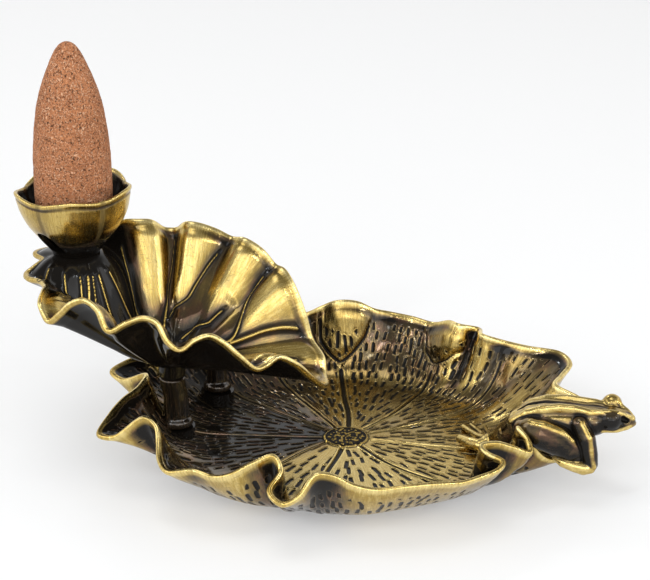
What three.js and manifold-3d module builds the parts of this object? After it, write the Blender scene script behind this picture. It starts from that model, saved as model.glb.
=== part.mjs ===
// Lotus backflow incense burner. Millimetres, +Z up, +X to the viewer's right, -Y to the viewer.
// The origin lies on the table, below the middle of the seed disc of the lower leaf.
import * as THREE from "three";
import { mergeVertices } from "three/addons/utils/BufferGeometryUtils.js";
import Module from "manifold-3d";

const wasm = await Module();
wasm.setup();

// Fits: the space between two pieces that rest on each other, and round a pin or shank.
const SEAM = 0.3;
const ROUND = 0.25;

// Foot pad under the lower leaf.
const PAD_RADIUS = 17;
const PAD_HEIGHT = 0.8;

// Both leaves are cast as thin sheets with a thicker rounded rim.
const SHEET = 1.3;
const RIM_BEAD = 0.85;

// Lower leaf: a flat floor that turns up into a wavy wall.
const DISH_UNDERSIDE = PAD_HEIGHT + SEAM;
const DISH_TOP = DISH_UNDERSIDE + SHEET;
const DISH_FLOOR_RADIUS = 23;
const DISH_REACH = 38;
const DISH_RISE = 9.8;
const DISH_CURVE = 2.5;
const DISH_FOLD = 2.2;
const DISH_LIFT = 3.5;
const DISH_FLARE = 2;
const SEED_RADIUS = 4;
const SEED_HEIGHT = 0.25;

// Rim of the lower leaf: azimuth in degrees, how far it lies outside DISH_REACH, how far above
// DISH_RISE, and how many degrees the lip leans along the rim.
const DISH_RIM = [
  [-5, 4.4, -0.6, 0], [1, -0.4, 0.8, 0], [6, 1.2, 1, 0], [12, 4, 1.5, 0], [18, 3.6, 1.8, 0],
  [25, -0.5, 1.6, 0], [32, -2.6, 1.4, 0], [38, -5.2, 2.2, 0], [44, -2.6, 1.6, 0],
  [48, -5.6, 2.6, 0], [53, -4.6, 2.2, 0], [60, -3.8, 0.6, 0], [67, -3.8, 1, 0], [75, -3.4, 1.2, 0],
  [80, -4.4, 2, 0], [86, -5.3, 3.8, 0], [93, -5.6, 4, 0], [98, -4.8, 2.6, 0], [102, -2.6, 0.6, 0],
  [110, -1, 0.2, 0], [117, -2.5, 1.6, 0], [124, -0.6, 0, 0], [131, 1.2, -0.6, 0],
  [138, -0.5, 1.4, 0], [145, 1.5, 0, 0], [153, 3, 0, 0], [159, 0.8, 1.4, 0], [165, 4, 0.8, 0],
  [170, 5.4, 0.4, 0], [174, 2.4, 0.2, 0], [178, -2, 2.5, 0], [184, -1, 1.9, 0], [190, 2, 1.4, 0],
  [195, 4.6, 0.6, 0], [200, 7.5, -1, 0], [204, 5.5, -0.5, 0], [207, 1, 3, 0], [211, 0, 2.5, 0],
  [215, 1, 0.5, 0], [219, 2.6, -1, 0], [224, 3.6, -1.5, 0], [230, 1.8, -0.5, 0], [235, 0.8, -1, 0],
  [240, 0.6, 0.2, 0], [245, -1.2, 2.3, 0], [249, -3.1, 3.2, 0.5], [251, -2.2, 1.2, 1],
  [252, 1.4, -0.8, -1], [255, 3.2, -1.8, 0], [258.5, 2.2, -0.6, 0], [262, 0, 2.3, 0],
  [266, -0.6, 2, 0], [271, -0.7, 0.3, 0], [277, -0.3, -0.5, 0], [284, 0.4, 0, 0], [291, 0.9, 0, 0],
  [298, 1.1, -0.7, 0], [304, 0.9, -0.8, 0], [308, 1.2, -0.4, 1.5], [310, 0.2, 0, 2.5],
  [311.5, -2.5, 0.8, -0.5], [313, -4.4, 1.3, -1], [316, -3.2, 1.4, 0], [319, -1.2, 0.6, 0],
  [321.5, 0.8, -0.6, 1], [323, -0.4, 0.8, 1.5], [325, -2.6, 2.4, 0], [328, -2.2, 0.6, 0],
  [330, 0.6, -3.4, 0], [333, 2.6, -4.4, 0], [338, 4, -4.4, 0], [348, 4.6, -3, 0],
];

// Upper leaf: a tilted bowl round its navel, raised into a flat-topped mound below the cup.
const NAVEL = [-31, 0, 17.6];
const NAVEL_RADIUS = 1.5;
const LEAF_CURVE = 1.3;
const LEAF_FOLD = 1.35;
const LEAF_LIFT = 1.35;
const LEAF_FLARE = 1;
const MOUND_FLAT = 3.8;
const MOUND_FOOT = 11;

// Rim of the upper leaf: azimuth about the navel, reach from it, height above it, and lean.
const LEAF_RIM = [
  [-7, 26.8, -3.4, 0], [1, 27.4, -4.6, 0], [9, 27.3, -4.4, 0], [13, 27.4, -2.2, 0],
  [20, 26.2, 0.2, 0], [24, 25.4, 5, 0], [30, 24.3, 10.1, 0], [35, 23.8, 12, 0],
  [39, 23.2, 12.4, 0], [44, 21.6, 15.3, 0], [51, 20, 17.1, 0], [60, 20, 16.8, 0],
  [68, 18.8, 18.3, 0], [78, 17.2, 19.7, 0], [84, 17.2, 19.7, 0], [90, 18.8, 18, 0],
  [97, 19, 18, 0], [105, 18, 20, 0], [112, 18.2, 20.3, 0], [121, 20, 20, 0],
  [131, 24, 16.5, 0], [139, 26, 14.6, 0], [147, 28.6, 15, 0], [153, 28.6, 15.2, 0],
  [158, 25.4, 14.4, 0], [162, 26, 14.1, 0], [167, 26.8, 14.1, 0], [172, 25.8, 14.3, 0],
  [178, 23, 14.8, 0], [185, 21.8, 14.8, 0], [194, 22.2, 15.4, 0], [204, 23.6, 14.6, 0],
  [210, 23.1, 12.4, 0], [215, 21.8, 14.2, 0], [219, 20.6, 16.1, 0], [226, 19.3, 17.2, 0],
  [232, 18.5, 15.8, 0], [239, 18.4, 12.4, 0], [248, 16.9, 13.8, 0], [257, 15.8, 14.6, 0],
  [265, 15.8, 14, 0], [272, 16.8, 10.8, 0], [279, 17, 9.3, 0], [288, 16.3, 10.5, 0],
  [297, 16.6, 11.1, 0], [304, 17.7, 9.8, 0], [311, 19.4, 7.1, 0], [318, 20.6, 4.5, 0],
  [324, 21, 4.5, 0], [331, 21.9, 5.3, 0], [337, 24, 3.5, 0], [344, 25.6, 0, 0],
];

// Stems: where they stand, how far the top leans, radius, foot collar and the pin on top.
const FRONT_STEM = { x: -30.6, y: 0, lean: [-0.6, 0], radius: 2.3, base: 5.2, top: 14.3 };
const REAR_STEM = { x: -24, y: 15, lean: [-0.4, -2.4], radius: 1.9, base: 5.4, top: 24 };
const COLLAR_FLARE = 0.7;
const COLLAR_HEIGHT = 1.6;
const PIN_RADIUS = 1.2;
const PIN_LENGTH = 2;
const STEM_BORE_DEPTH = 5;
const BOSS_WALL = 1;

// Cup: a lobed bowl on the mound, with the cone's seat above a smoke chamber.
const CUP_X = -48.6;
const CUP_Y = 10.5;
const CUP_BASE = 34.4;
const CUP_HEIGHT = 12.4;
const CUP_WALL = 1.2;
const CUP_SEAT = 7.3;
const SEAT_PLATE = 1.4;
const CUP_FOOT_PLATE = 1.5;
const CUP_LOBES = 5;
const CUP_LOBE_AZIMUTH = 272;
const CUP_LOBE_DEPTH = 0.4;
const CUP_LOBE_RISE = 0.45;
const CUP_TILT = 0.45;
const SMOKE_HOLE_RADIUS = 1.4;
const ARCH_AZIMUTH = 229;
const ARCH_WIDTH = 4.6;
const ARCH_HEIGHT = 4.2;
// Outside of the cup: share of the height against radius.
const CUP_PROFILE = [[0, 4], [0.06, 4.4], [0.27, 6.5], [0.49, 8.5], [0.71, 9.7], [1, 10.45]];

// Incense cone with the blind bore that its smoke sinks through.
const CONE_RADIUS = 7;
const CONE_HEIGHT = 31.4;
// Shares of its height and radius.
const CONE_PROFILE = [
  [0.12, 1], [0.34, 0.99], [0.48, 0.94], [0.625, 0.85], [0.725, 0.735], [0.81, 0.6],
  [0.895, 0.44], [0.955, 0.3], [0.985, 0.17],
];
const CONE_BORE_RADIUS = 1.5;
const CONE_BORE_DEPTH = 20;

// Frog, posed over the rim: its own axes are forward from the rump, to its left, and up.
const FROG_INSIDE = 10.5;
const FROG_OUTSIDE = 10.5;
const FROG_RUMP = [DISH_REACH - FROG_INSIDE, -13.5];
const FROG_NOSE = [DISH_REACH + FROG_OUTSIDE, -18];
const FROG_PEG = { along: 4, left: 1.5, radius: 2.3, base: 8 };

// Countersunk screws from below, flush with the bosses that they enter.
const SHANK_RADIUS = 1.25;
const HEAD_RADIUS = 2.3;
const HEAD_HEIGHT = 1.2;
const HEAD_RIM = 0.25;
const SOCKET_RADIUS = 0.8;
const SOCKET_DEPTH = 0.8;
const FROG_BOSS_LOW = 4.6;
const CUP_BOSS_DEPTH = 3.4;

// Roundness of the turned pieces and of the two leaves.
const FACETS = 20;
const DISH_STATIONS = 116;
const LEAF_STATIONS = 88;
const DISH_RINGS = 5;
const LEAF_RINGS = 7;
const CUP_STATIONS = 35;

const radians = THREE.MathUtils.degToRad;

/** Turns a closed geometry into a solid. */
function solid(geometry) {
  const bare = geometry.index ? geometry.toNonIndexed() : geometry.clone();
  bare.deleteAttribute("normal");
  bare.deleteAttribute("uv");
  const merged = mergeVertices(bare, 1e-4);
  return new wasm.Manifold(
    new wasm.Mesh({
      numProp: 3,
      vertProperties: merged.attributes.position.array,
      triVerts: new Uint32Array(merged.index.array),
    }),
  );
}

/** Turns a solid back into a geometry. */
function geometryOf(body) {
  const mesh = body.getMesh();
  const geometry = new THREE.BufferGeometry();
  geometry.setAttribute("position", new THREE.BufferAttribute(mesh.vertProperties, 3));
  geometry.setIndex(new THREE.BufferAttribute(mesh.triVerts, 1));
  return geometry;
}

/** Closed skin over rings of equal length, counter-clockwise seen from the first pole. */
function skin(first, rings, last) {
  const around = rings[0].length;
  const points = [first, ...rings.flat(), last];
  const at = (ring, i) => 1 + ring * around + (i % around);
  const faces = [];
  for (let i = 0; i < around; i++) {
    faces.push(0, at(0, i), at(0, i + 1));
    for (let r = 0; r + 1 < rings.length; r++) {
      faces.push(at(r, i), at(r + 1, i), at(r + 1, i + 1));
      faces.push(at(r, i), at(r + 1, i + 1), at(r, i + 1));
    }
    faces.push(at(rings.length - 1, i), points.length - 1, at(rings.length - 1, i + 1));
  }
  const geometry = new THREE.BufferGeometry().setFromPoints(points);
  return solid(geometry.setIndex(faces));
}

/** Upright cylinder between two heights. */
function post(x, y, low, high, radius, facets = FACETS) {
  const geometry = new THREE.CylinderGeometry(radius, radius, high - low, facets);
  geometry.rotateX(Math.PI / 2).translate(x, y, (low + high) / 2);
  return solid(geometry);
}

/** Turned piece from a profile of [radius, height] that starts and ends on the axis. */
function turned(profile, x, y, base, facets = FACETS) {
  const points = profile.map(([r, h]) => new THREE.Vector2(r, h));
  const geometry = new THREE.LatheGeometry(points, facets);
  geometry.rotateX(Math.PI / 2).translate(x, y, base);
  return solid(geometry);
}

/** Thin leaf that spreads from a flat centre to a wavy rim; its form is the middle of the sheet. */
class Leaf {
  constructor({ centre, floor, curve, fold, lift, flare, rim, mound }) {
    Object.assign(this, { floor, curve, fold, lift, flare, mound });
    this.centre = new THREE.Vector3(...centre);
    this.azimuths = rim.map(([azimuth]) => radians(azimuth));
    const lips = rim.map(([azimuth, reach, height, lean]) => {
      const a = radians(azimuth + lean);
      return new THREE.Vector3(Math.cos(a) * reach, Math.sin(a) * reach, height);
    });
    this.lip = new THREE.CatmullRomCurve3(lips, true, "centripetal");
    this.lip.arcLengthDivisions = 1500;
    this.harmonics = this.lowHarmonics(3, 720);
  }

  /** Azimuth of the spoke that meets the rim at t. */
  azimuthAt(t) {
    const n = this.azimuths.length;
    const k = Math.floor(t * n);
    const next = this.azimuths[(k + 1) % n] + (k + 1 >= n ? 2 * Math.PI : 0);
    return THREE.MathUtils.lerp(this.azimuths[k % n], next, t * n - k);
  }

  /** Slow part of the rim: its first few harmonics of reach and height over the azimuth. */
  lowHarmonics(orders, samples) {
    const rows = [];
    for (let i = 0; i < samples; i++) {
      const t = i / samples;
      const p = this.lip.getPoint(t);
      const step = this.azimuthAt(Math.min(t + 0.5 / samples, 1 - 1e-9)) -
        this.azimuthAt(Math.max(t - 0.5 / samples, 0));
      rows.push([this.azimuthAt(t), Math.hypot(p.x, p.y), p.z, step]);
    }
    const whole = rows.reduce((sum, row) => sum + row[3], 0);
    const result = [];
    for (let m = 0; m <= orders; m++) {
      const sums = [0, 0, 0, 0];
      for (const [azimuth, reach, height, step] of rows) {
        const share = ((m ? 2 : 1) * step) / whole;
        sums[0] += share * reach * Math.cos(m * azimuth);
        sums[1] += share * reach * Math.sin(m * azimuth);
        sums[2] += share * height * Math.cos(m * azimuth);
        sums[3] += share * height * Math.sin(m * azimuth);
      }
      result.push(sums);
    }
    return result;
  }

  /** Point in the sheet: u runs from the edge of the floor to the rim. */
  point(u, t) {
    const azimuth = this.azimuthAt(t);
    let reach = 0;
    let rise = 0;
    this.harmonics.forEach(([rc, rs, hc, hs], m) => {
      reach += rc * Math.cos(m * azimuth) + rs * Math.sin(m * azimuth);
      rise += hc * Math.cos(m * azimuth) + hs * Math.sin(m * azimuth);
    });
    const lip = this.lip.getPoint(t);
    const fold = u ** this.fold;
    const radius = this.floor + (reach - this.floor) * u;
    const outward = Math.max(0, Math.hypot(lip.x, lip.y) - reach);
    const p = new THREE.Vector3(
      Math.cos(azimuth) * (radius - reach * fold) + lip.x * fold,
      Math.sin(azimuth) * (radius - reach * fold) + lip.y * fold,
      rise * u ** this.curve + (lip.z - rise) * u ** this.lift +
        this.flare * outward * (u ** 2 - u ** 4),
    ).add(this.centre);
    if (this.mound) {
      const { x, y, top, flat, foot } = this.mound;
      const away = Math.hypot(p.x - x, p.y - y);
      p.z = THREE.MathUtils.lerp(top, p.z, THREE.MathUtils.smoothstep(away, flat, foot));
    }
    return p;
  }

  /** Directions at a point: out to the rim, and up from the sheet. */
  frame(u, t) {
    const e = 1e-3;
    const wrap = (v) => (v + 1) % 1;
    const out = this.point(u + e, t).sub(this.point(Math.max(u - e, 0), t)).normalize();
    const along = this.point(u, wrap(t + e)).sub(this.point(u, wrap(t - e))).normalize();
    return { out, up: out.clone().cross(along).normalize() };
  }

  /** Points of a face that lies above or below the middle of the sheet. */
  face(ts, us, above) {
    return us.map((u) => ts.map((t) => {
      const up = u ? this.frame(u, t).up : new THREE.Vector3(0, 0, 1);
      return this.point(u, t).addScaledVector(up, above);
    }));
  }

  /** Stations round the rim and steps up the wall that a face is built on. */
  grid(stations, rings) {
    return [
      Array.from({ length: stations }, (_, i) => this.lip.getUtoTmapping(i / stations)),
      Array.from({ length: rings + 1 }, (_, i) => (i / rings) ** 0.8),
    ];
  }

  /** Whole sheet with its bead, as one solid, thickened on every side by a margin. */
  sheet(stations, rings, margin = 0) {
    const [ts, us] = this.grid(stations, rings);
    const half = SHEET / 2 + margin;
    const bead = [25, 90, 155].map((turn) => ts.map((t) => {
      const { out, up } = this.frame(1, t);
      return this.point(1, t)
        .addScaledVector(up, (RIM_BEAD + margin) * Math.cos(radians(turn)))
        .addScaledVector(out, (RIM_BEAD + margin) * Math.sin(radians(turn)));
    }));
    const pole = (above) => this.centre.clone().setZ(this.centre.z + above);
    return skin(
      pole(half),
      [...this.face(ts, us, half), ...bead, ...this.face(ts, us, -half).reverse()],
      pole(-half),
    );
  }

  /** All the space above the middle of the sheet, up to a ceiling. */
  above(stations, rings, ceiling) {
    const [ts, us] = this.grid(stations, rings);
    const middle = this.face(ts, us, 0).reverse();
    const roof = middle[0].map((p) => p.clone().setZ(ceiling));
    return skin(this.centre.clone().setZ(ceiling), [roof, ...middle], this.centre);
  }
}

const dishForm = new Leaf({
  centre: [0, 0, DISH_TOP - SHEET / 2],
  floor: DISH_FLOOR_RADIUS,
  curve: DISH_CURVE,
  fold: DISH_FOLD,
  lift: DISH_LIFT,
  flare: DISH_FLARE,
  rim: DISH_RIM.map(([a, out, lift, lean]) => [a, DISH_REACH + out, DISH_RISE + lift, lean]),
});

const leafForm = new Leaf({
  centre: NAVEL,
  floor: NAVEL_RADIUS,
  curve: LEAF_CURVE,
  fold: LEAF_FOLD,
  lift: LEAF_LIFT,
  flare: LEAF_FLARE,
  rim: LEAF_RIM,
  mound: {
    x: CUP_X, y: CUP_Y, top: CUP_BASE - SEAM - SHEET / 2, flat: MOUND_FLAT, foot: MOUND_FOOT,
  },
});

const SHANK_HOLE = SHANK_RADIUS + ROUND;

/** Countersunk screw that enters from below. */
function screw(x, y, low, tip) {
  const length = tip - low;
  return turned(
    [[0, 0], [HEAD_RADIUS, 0], [HEAD_RADIUS, HEAD_RIM], [SHANK_RADIUS, HEAD_HEIGHT],
      [SHANK_RADIUS, length - 0.4], [SHANK_RADIUS - 0.4, length], [0, length]],
    x, y, low, FACETS,
  ).subtract(post(x, y, low - 1, low + SOCKET_DEPTH, SOCKET_RADIUS, 6));
}

/** Hole for a screw's shank with the sink for its head. */
function screwHole(x, y, low, high) {
  return turned(
    [[0, -1], [HEAD_RADIUS + ROUND, -1], [HEAD_RADIUS + ROUND, HEAD_RIM + ROUND],
      [SHANK_HOLE, HEAD_HEIGHT + ROUND], [SHANK_HOLE, high - low], [0, high - low]],
    x, y, low, FACETS,
  );
}

/** Stem with a flared foot, a bore for its screw and a locating pin on top. */
function stem({ x, y, lean, radius, base, top }) {
  const height = top - base;
  const start = STEM_BORE_DEPTH / height;
  const ring = (share, r) => {
    const bend = THREE.MathUtils.smoothstep(share, start, 1);
    return Array.from({ length: FACETS }, (_, i) => {
      const a = (2 * Math.PI * i) / FACETS;
      return new THREE.Vector3(
        x + lean[0] * bend + Math.cos(a) * r,
        y + lean[1] * bend + Math.sin(a) * r,
        base + share * height,
      );
    });
  };
  const collar = COLLAR_HEIGHT / height;
  const rings = [ring(1, radius)];
  for (const share of [0.85, 0.7, 0.55]) rings.push(ring(share, radius));
  rings.push(ring(Math.max(start, collar * 1.6), radius), ring(collar * 1.5, radius));
  rings.push(ring(collar, radius + COLLAR_FLARE * 0.45));
  rings.push(ring(collar * 0.6, radius + COLLAR_FLARE), ring(0, radius + COLLAR_FLARE));
  const tip = new THREE.Vector3(x + lean[0], y + lean[1], top);
  return skin(tip, rings, new THREE.Vector3(x, y, base))
    .add(post(tip.x, tip.y, top - 0.5, top + PIN_LENGTH, PIN_RADIUS, 20))
    .subtract(post(x, y, base - 1, base + STEM_BORE_DEPTH, SHANK_HOLE, 20));
}

/** Boss under the upper leaf that takes a stem's pin, and its bore. */
function socketBoss({ x, y, lean, radius, top }, reach) {
  const [sx, sy] = [x + lean[0], y + lean[1]];
  return {
    boss: post(sx, sy, top + SEAM, top + SEAM + reach, radius + 0.4),
    bore: post(sx, sy, top - 1, top + PIN_LENGTH + SEAM, PIN_RADIUS + ROUND, 20),
  };
}

const frogAxis = new THREE.Vector2(FROG_NOSE[0] - FROG_RUMP[0], FROG_NOSE[1] - FROG_RUMP[1])
  .normalize();

/** Point in the frog's axes, in the part's frame. */
function frogPoint(along, left, up) {
  return new THREE.Vector3(
    FROG_RUMP[0] + frogAxis.x * along - frogAxis.y * left,
    FROG_RUMP[1] + frogAxis.y * along + frogAxis.x * left,
    up,
  );
}

/** Rounded limb through [along, left, up, width, height] rows. */
function limb(rows, facets = 12) {
  const centres = rows.map(([a, l, u]) => frogPoint(a, l, u));
  const rings = rows.map(([, , , width, height = width], i) => {
    const ahead = centres[Math.min(i + 1, rows.length - 1)].clone()
      .sub(centres[Math.max(i - 1, 0)]).normalize();
    const side = new THREE.Vector3(0, 0, 1).cross(ahead);
    if (side.length() < 0.15) side.set(-frogAxis.y, frogAxis.x, 0);
    side.normalize();
    const over = ahead.clone().cross(side);
    return Array.from({ length: facets }, (_, k) => {
      const turn = (2 * Math.PI * k) / facets;
      return centres[i].clone()
        .addScaledVector(side, -Math.cos(turn) * width)
        .addScaledVector(over, Math.sin(turn) * height);
    });
  });
  const cap = (end, before, radius) => end.clone()
    .addScaledVector(end.clone().sub(before).normalize(), radius * 0.55);
  const last = rows.length - 1;
  return skin(
    cap(centres[0], centres[1], Math.min(rows[0][3], rows[0][4] ?? rows[0][3])),
    rings,
    cap(centres[last], centres[last - 1], Math.min(rows[last][3], rows[last][4] ?? rows[last][3])),
  );
}

/** Small ball in the frog's axes. */
function ball(along, left, up, radius) {
  const c = frogPoint(along, left, up);
  return solid(new THREE.SphereGeometry(radius, 12, 8).translate(c.x, c.y, c.z));
}

const frogPeg = frogPoint(FROG_PEG.along, FROG_PEG.left, 0);
const standings = [
  { ...FRONT_STEM, low: DISH_UNDERSIDE, foot: FRONT_STEM.radius + COLLAR_FLARE },
  { ...REAR_STEM, low: DISH_UNDERSIDE, foot: REAR_STEM.radius + COLLAR_FLARE },
  { x: frogPeg.x, y: frogPeg.y, base: FROG_PEG.base, low: FROG_BOSS_LOW, foot: FROG_PEG.radius },
];

/** Lower leaf with a boss for each piece that stands on it, let into the wall where it is near. */
function lowerLeaf() {
  const above = dishForm.above(DISH_STATIONS, DISH_RINGS, 40);
  let leaf = dishForm.sheet(DISH_STATIONS, DISH_RINGS)
    .add(post(0, 0, DISH_TOP - 0.5, DISH_TOP + SEED_HEIGHT, SEED_RADIUS));
  for (const { x, y, low, base, foot } of standings) {
    leaf = leaf.add(post(x, y, low, base - SEAM, foot + BOSS_WALL))
      .add(post(x, y, low, 12, foot + BOSS_WALL).subtract(above));
  }
  for (const { x, y, low, base, foot } of standings) {
    leaf = leaf.subtract(screwHole(x, y, low, base))
      .subtract(post(x, y, base - SEAM, 20, foot + ROUND));
  }
  return leaf;
}

function upperLeaf() {
  const front = socketBoss(FRONT_STEM, 3);
  const rear = socketBoss(REAR_STEM, 6);
  const cupBossLow = CUP_BASE - SEAM - CUP_BOSS_DEPTH;
  const bosses = front.boss.add(rear.boss)
    .add(post(CUP_X, CUP_Y, cupBossLow, CUP_BASE - SEAM - 0.2, MOUND_FLAT));
  return leafForm.sheet(LEAF_STATIONS, LEAF_RINGS)
    .add(bosses.subtract(leafForm.above(LEAF_STATIONS, LEAF_RINGS, 60)))
    .subtract(front.bore)
    .subtract(rear.bore)
    .subtract(screwHole(CUP_X, CUP_Y, cupBossLow, CUP_BASE + 1));
}

function frog() {
  const parts = [
    // Body and head.
    limb([[0.3, 0, 8.9, 1.5, 1.3], [2.8, 0, 11.4, 3.1, 2.7], [5.2, 0, 13.2, 4.1, 3.3],
      [7.2, 0, 13.7, 4.6, 3.7], [10.7, 0, 14.1, 4.4, 3.5], [15.2, 0, 14.6, 3.8, 2.8],
      [18.3, 0, 15, 3.3, 2.1], [20.4, 0, 14.8, 2.2, 1.6], [22, 0, 14.4, 1.1, 0.8]], 16),
    ball(18, 2.4, 16.5, 1.55),
    ball(18.3, -2.3, 15.8, 1.4),
    // Near hind leg, folded, and its foot over the rim.
    limb([[3.6, -3.6, 12.8, 1.5], [6.6, -4.8, 12.4, 2, 2.6], [9.4, -5, 11.5, 2, 2.9],
      [11.8, -5, 10, 1.8, 2.2], [12.8, -5, 8.6, 1.3]]),
    limb([[9.4, -5.7, 8.4, 0.7], [12.6, -5.6, 7.7, 1.1], [15.4, -5.4, 7.4, 1.1]]),
    // Near foreleg.
    limb([[13, -3, 14.4, 1.5], [14.2, -4.6, 12.2, 1.4], [15.1, -5, 9.6, 1.3],
      [15.4, -5.2, 7.6, 1.2]]),
    // Far foreleg and far thigh.
    limb([[13, 3, 14, 1.6], [13.8, 4.4, 12.4, 1.5], [13.4, 5, 11, 1.2]]),
    limb([[3.6, 3.8, 12.6, 1.5], [6.2, 4.8, 12.4, 2.1], [9, 5, 12, 2.1], [11.4, 4.6, 11.4, 1.5]]),
    // Far hind leg, stretched back onto the leaf, with its foot and toes.
    limb([[2.4, 3, 11, 1.8], [-0.4, 5.7, 8, 1.6], [-2.2, 6.9, 5.7, 1.3], [-4.4, 7.5, 4.4, 1.1]], 10),
    limb([[-4.4, 7, 4.2, 1.1], [-7, 7.6, 3.7, 1.1], [-9, 9, 3.5, 0.9]], 8),
    limb([[-3.9, 7.8, 4.3, 0.8], [-6.1, 10.6, 3.6, 0.65], [-7.9, 13.2, 3.3, 0.55],
      [-9.4, 15.2, 3.2, 0.5]], 8),
    limb([[-3.9, 7.8, 4.3, 0.8], [-5.2, 11, 3.7, 0.6], [-6.9, 14.2, 3.3, 0.5],
      [-8.1, 16.1, 3.2, 0.45]], 8),
    limb([[-3.6, 7.8, 4.4, 0.8], [-3.8, 10.2, 4, 0.6], [-4.5, 12.6, 3.6, 0.55],
      [-5.4, 15.2, 3.3, 0.45]], 8),
    // Peg that stands on the leaf's boss.
    post(frogPeg.x, frogPeg.y, FROG_PEG.base, 13, FROG_PEG.radius),
  ];
  return parts.reduce((sum, part) => sum.add(part))
    .subtract(dishForm.sheet(DISH_STATIONS, DISH_RINGS, SEAM))
    .subtract(post(frogPeg.x, frogPeg.y, FROG_BOSS_LOW, FROG_PEG.base,
      FROG_PEG.radius + BOSS_WALL + SEAM))
    .subtract(post(frogPeg.x, frogPeg.y, FROG_PEG.base - 1, FROG_PEG.base + 4.5, SHANK_HOLE, 20));
}

/** Radius of the outside of the cup at a share of its height. */
function cupRadius(share) {
  const k = Math.max(1, CUP_PROFILE.findIndex(([s]) => s >= share - 1e-9));
  const [[s0, r0], [s1, r1]] = [CUP_PROFILE[k - 1], CUP_PROFILE[k]];
  return THREE.MathUtils.mapLinear(share, s0, s1, r0, r1);
}

/** How far round its lobe a bearing on the cup is: 1 at a petal's middle, -1 between petals. */
const lobeAt = (a) => Math.cos(CUP_LOBES * (a - radians(CUP_LOBE_AZIMUTH)));

/** Height of the lip of the cup round its axis. */
const lipHeight = (a) => CUP_HEIGHT + CUP_LOBE_RISE * lobeAt(a) + CUP_TILT * Math.cos(a);

/** Lobed skin of the cup, moved in by a wall, from one height to another. */
function cupForm(inset, low, high) {
  const shares = [1, 0.85, 0.7, 0.55, 0.42, 0.3, 0.18, 0.07, 0]
    .filter((s) => s * CUP_HEIGHT > low + 0.2 && s * CUP_HEIGHT < high - 0.2);
  const levels = [high / CUP_HEIGHT, ...shares, low / CUP_HEIGHT];
  const rings = levels.map((share) => Array.from({ length: CUP_STATIONS }, (_, i) => {
    const a = (2 * Math.PI * i) / CUP_STATIONS;
    const lobe = CUP_LOBE_DEPTH * Math.min(share, 1) ** 2 * lobeAt(a);
    const r = cupRadius(Math.min(share, 1)) - inset + lobe;
    const wave = THREE.MathUtils.smoothstep(share, CUP_SEAT / CUP_HEIGHT + 0.05, 1);
    const height = share * CUP_HEIGHT + (lipHeight(a) - CUP_HEIGHT) * wave;
    return new THREE.Vector3(CUP_X + Math.cos(a) * r, CUP_Y + Math.sin(a) * r, CUP_BASE + height);
  }));
  const level = (ring) => ring.reduce((sum, p) => sum + p.z, 0) / ring.length;
  return skin(
    new THREE.Vector3(CUP_X, CUP_Y, level(rings[0])), rings,
    new THREE.Vector3(CUP_X, CUP_Y, level(rings.at(-1))),
  );
}

function cup() {
  const chamberTop = CUP_SEAT - SEAT_PLATE;
  const arch = new THREE.Shape()
    .moveTo(-ARCH_WIDTH / 2, 0)
    .lineTo(ARCH_WIDTH / 2, 0)
    .lineTo(ARCH_WIDTH / 2, ARCH_HEIGHT - ARCH_WIDTH / 2)
    .absarc(0, ARCH_HEIGHT - ARCH_WIDTH / 2, ARCH_WIDTH / 2, 0, Math.PI);
  const cutter = new THREE.ExtrudeGeometry(arch, { depth: 12, bevelEnabled: false,
    curveSegments: 8 });
  cutter.rotateX(Math.PI / 2).rotateZ(Math.PI / 2 + radians(ARCH_AZIMUTH));
  cutter.translate(CUP_X, CUP_Y, CUP_BASE + CUP_FOOT_PLATE);
  return cupForm(0, 0, CUP_HEIGHT)
    .subtract(cupForm(CUP_WALL, CUP_SEAT, CUP_HEIGHT + 3))
    .subtract(cupForm(CUP_WALL, CUP_FOOT_PLATE, chamberTop))
    .subtract(post(CUP_X, CUP_Y, CUP_BASE + chamberTop - 1, CUP_BASE + CUP_SEAT + 1,
      SMOKE_HOLE_RADIUS, 16))
    .subtract(post(CUP_X, CUP_Y, CUP_BASE - 1, CUP_BASE + CUP_FOOT_PLATE + 0.5, SHANK_HOLE, 20))
    .subtract(solid(cutter));
}

function cone() {
  const bottom = CUP_BASE + CUP_SEAT + SEAM;
  const side = new THREE.SplineCurve(CONE_PROFILE.map(
    ([share, radius]) => new THREE.Vector2(radius * CONE_RADIUS, share * CONE_HEIGHT),
  ));
  const profile = [[0, 0], [CONE_RADIUS - 0.5, 0], [CONE_RADIUS - 0.1, 0.4],
    ...side.getPoints(10).map((p) => [p.x, p.y]), [0, CONE_HEIGHT]];
  return turned(profile, CUP_X, CUP_Y, bottom, 24)
    .subtract(post(CUP_X, CUP_Y, bottom - 1, bottom + CONE_BORE_DEPTH, CONE_BORE_RADIUS, 16));
}

const BRONZE = { color: 0x6b5428, roughness: 0.32, metalness: 1 };
const DARK_BRONZE = { color: 0x2a2219, roughness: 0.25, metalness: 1 };
const CLAY = { color: 0x9a5a3e, roughness: 0.95, metalness: 0 };
const STEEL = { color: 0xa8aaad, roughness: 0.35, metalness: 1 };
const FOAM = { color: 0x1c1c1c, roughness: 0.9, metalness: 0 };

const burner = new THREE.Group();
burner.name = "backflow_incense_burner";

/** Adds a solid as a named piece with a material of its own. */
function add(name, body, finish) {
  const mesh = new THREE.Mesh(geometryOf(body), new THREE.MeshStandardMaterial(finish));
  mesh.name = name;
  burner.add(mesh);
}

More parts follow.
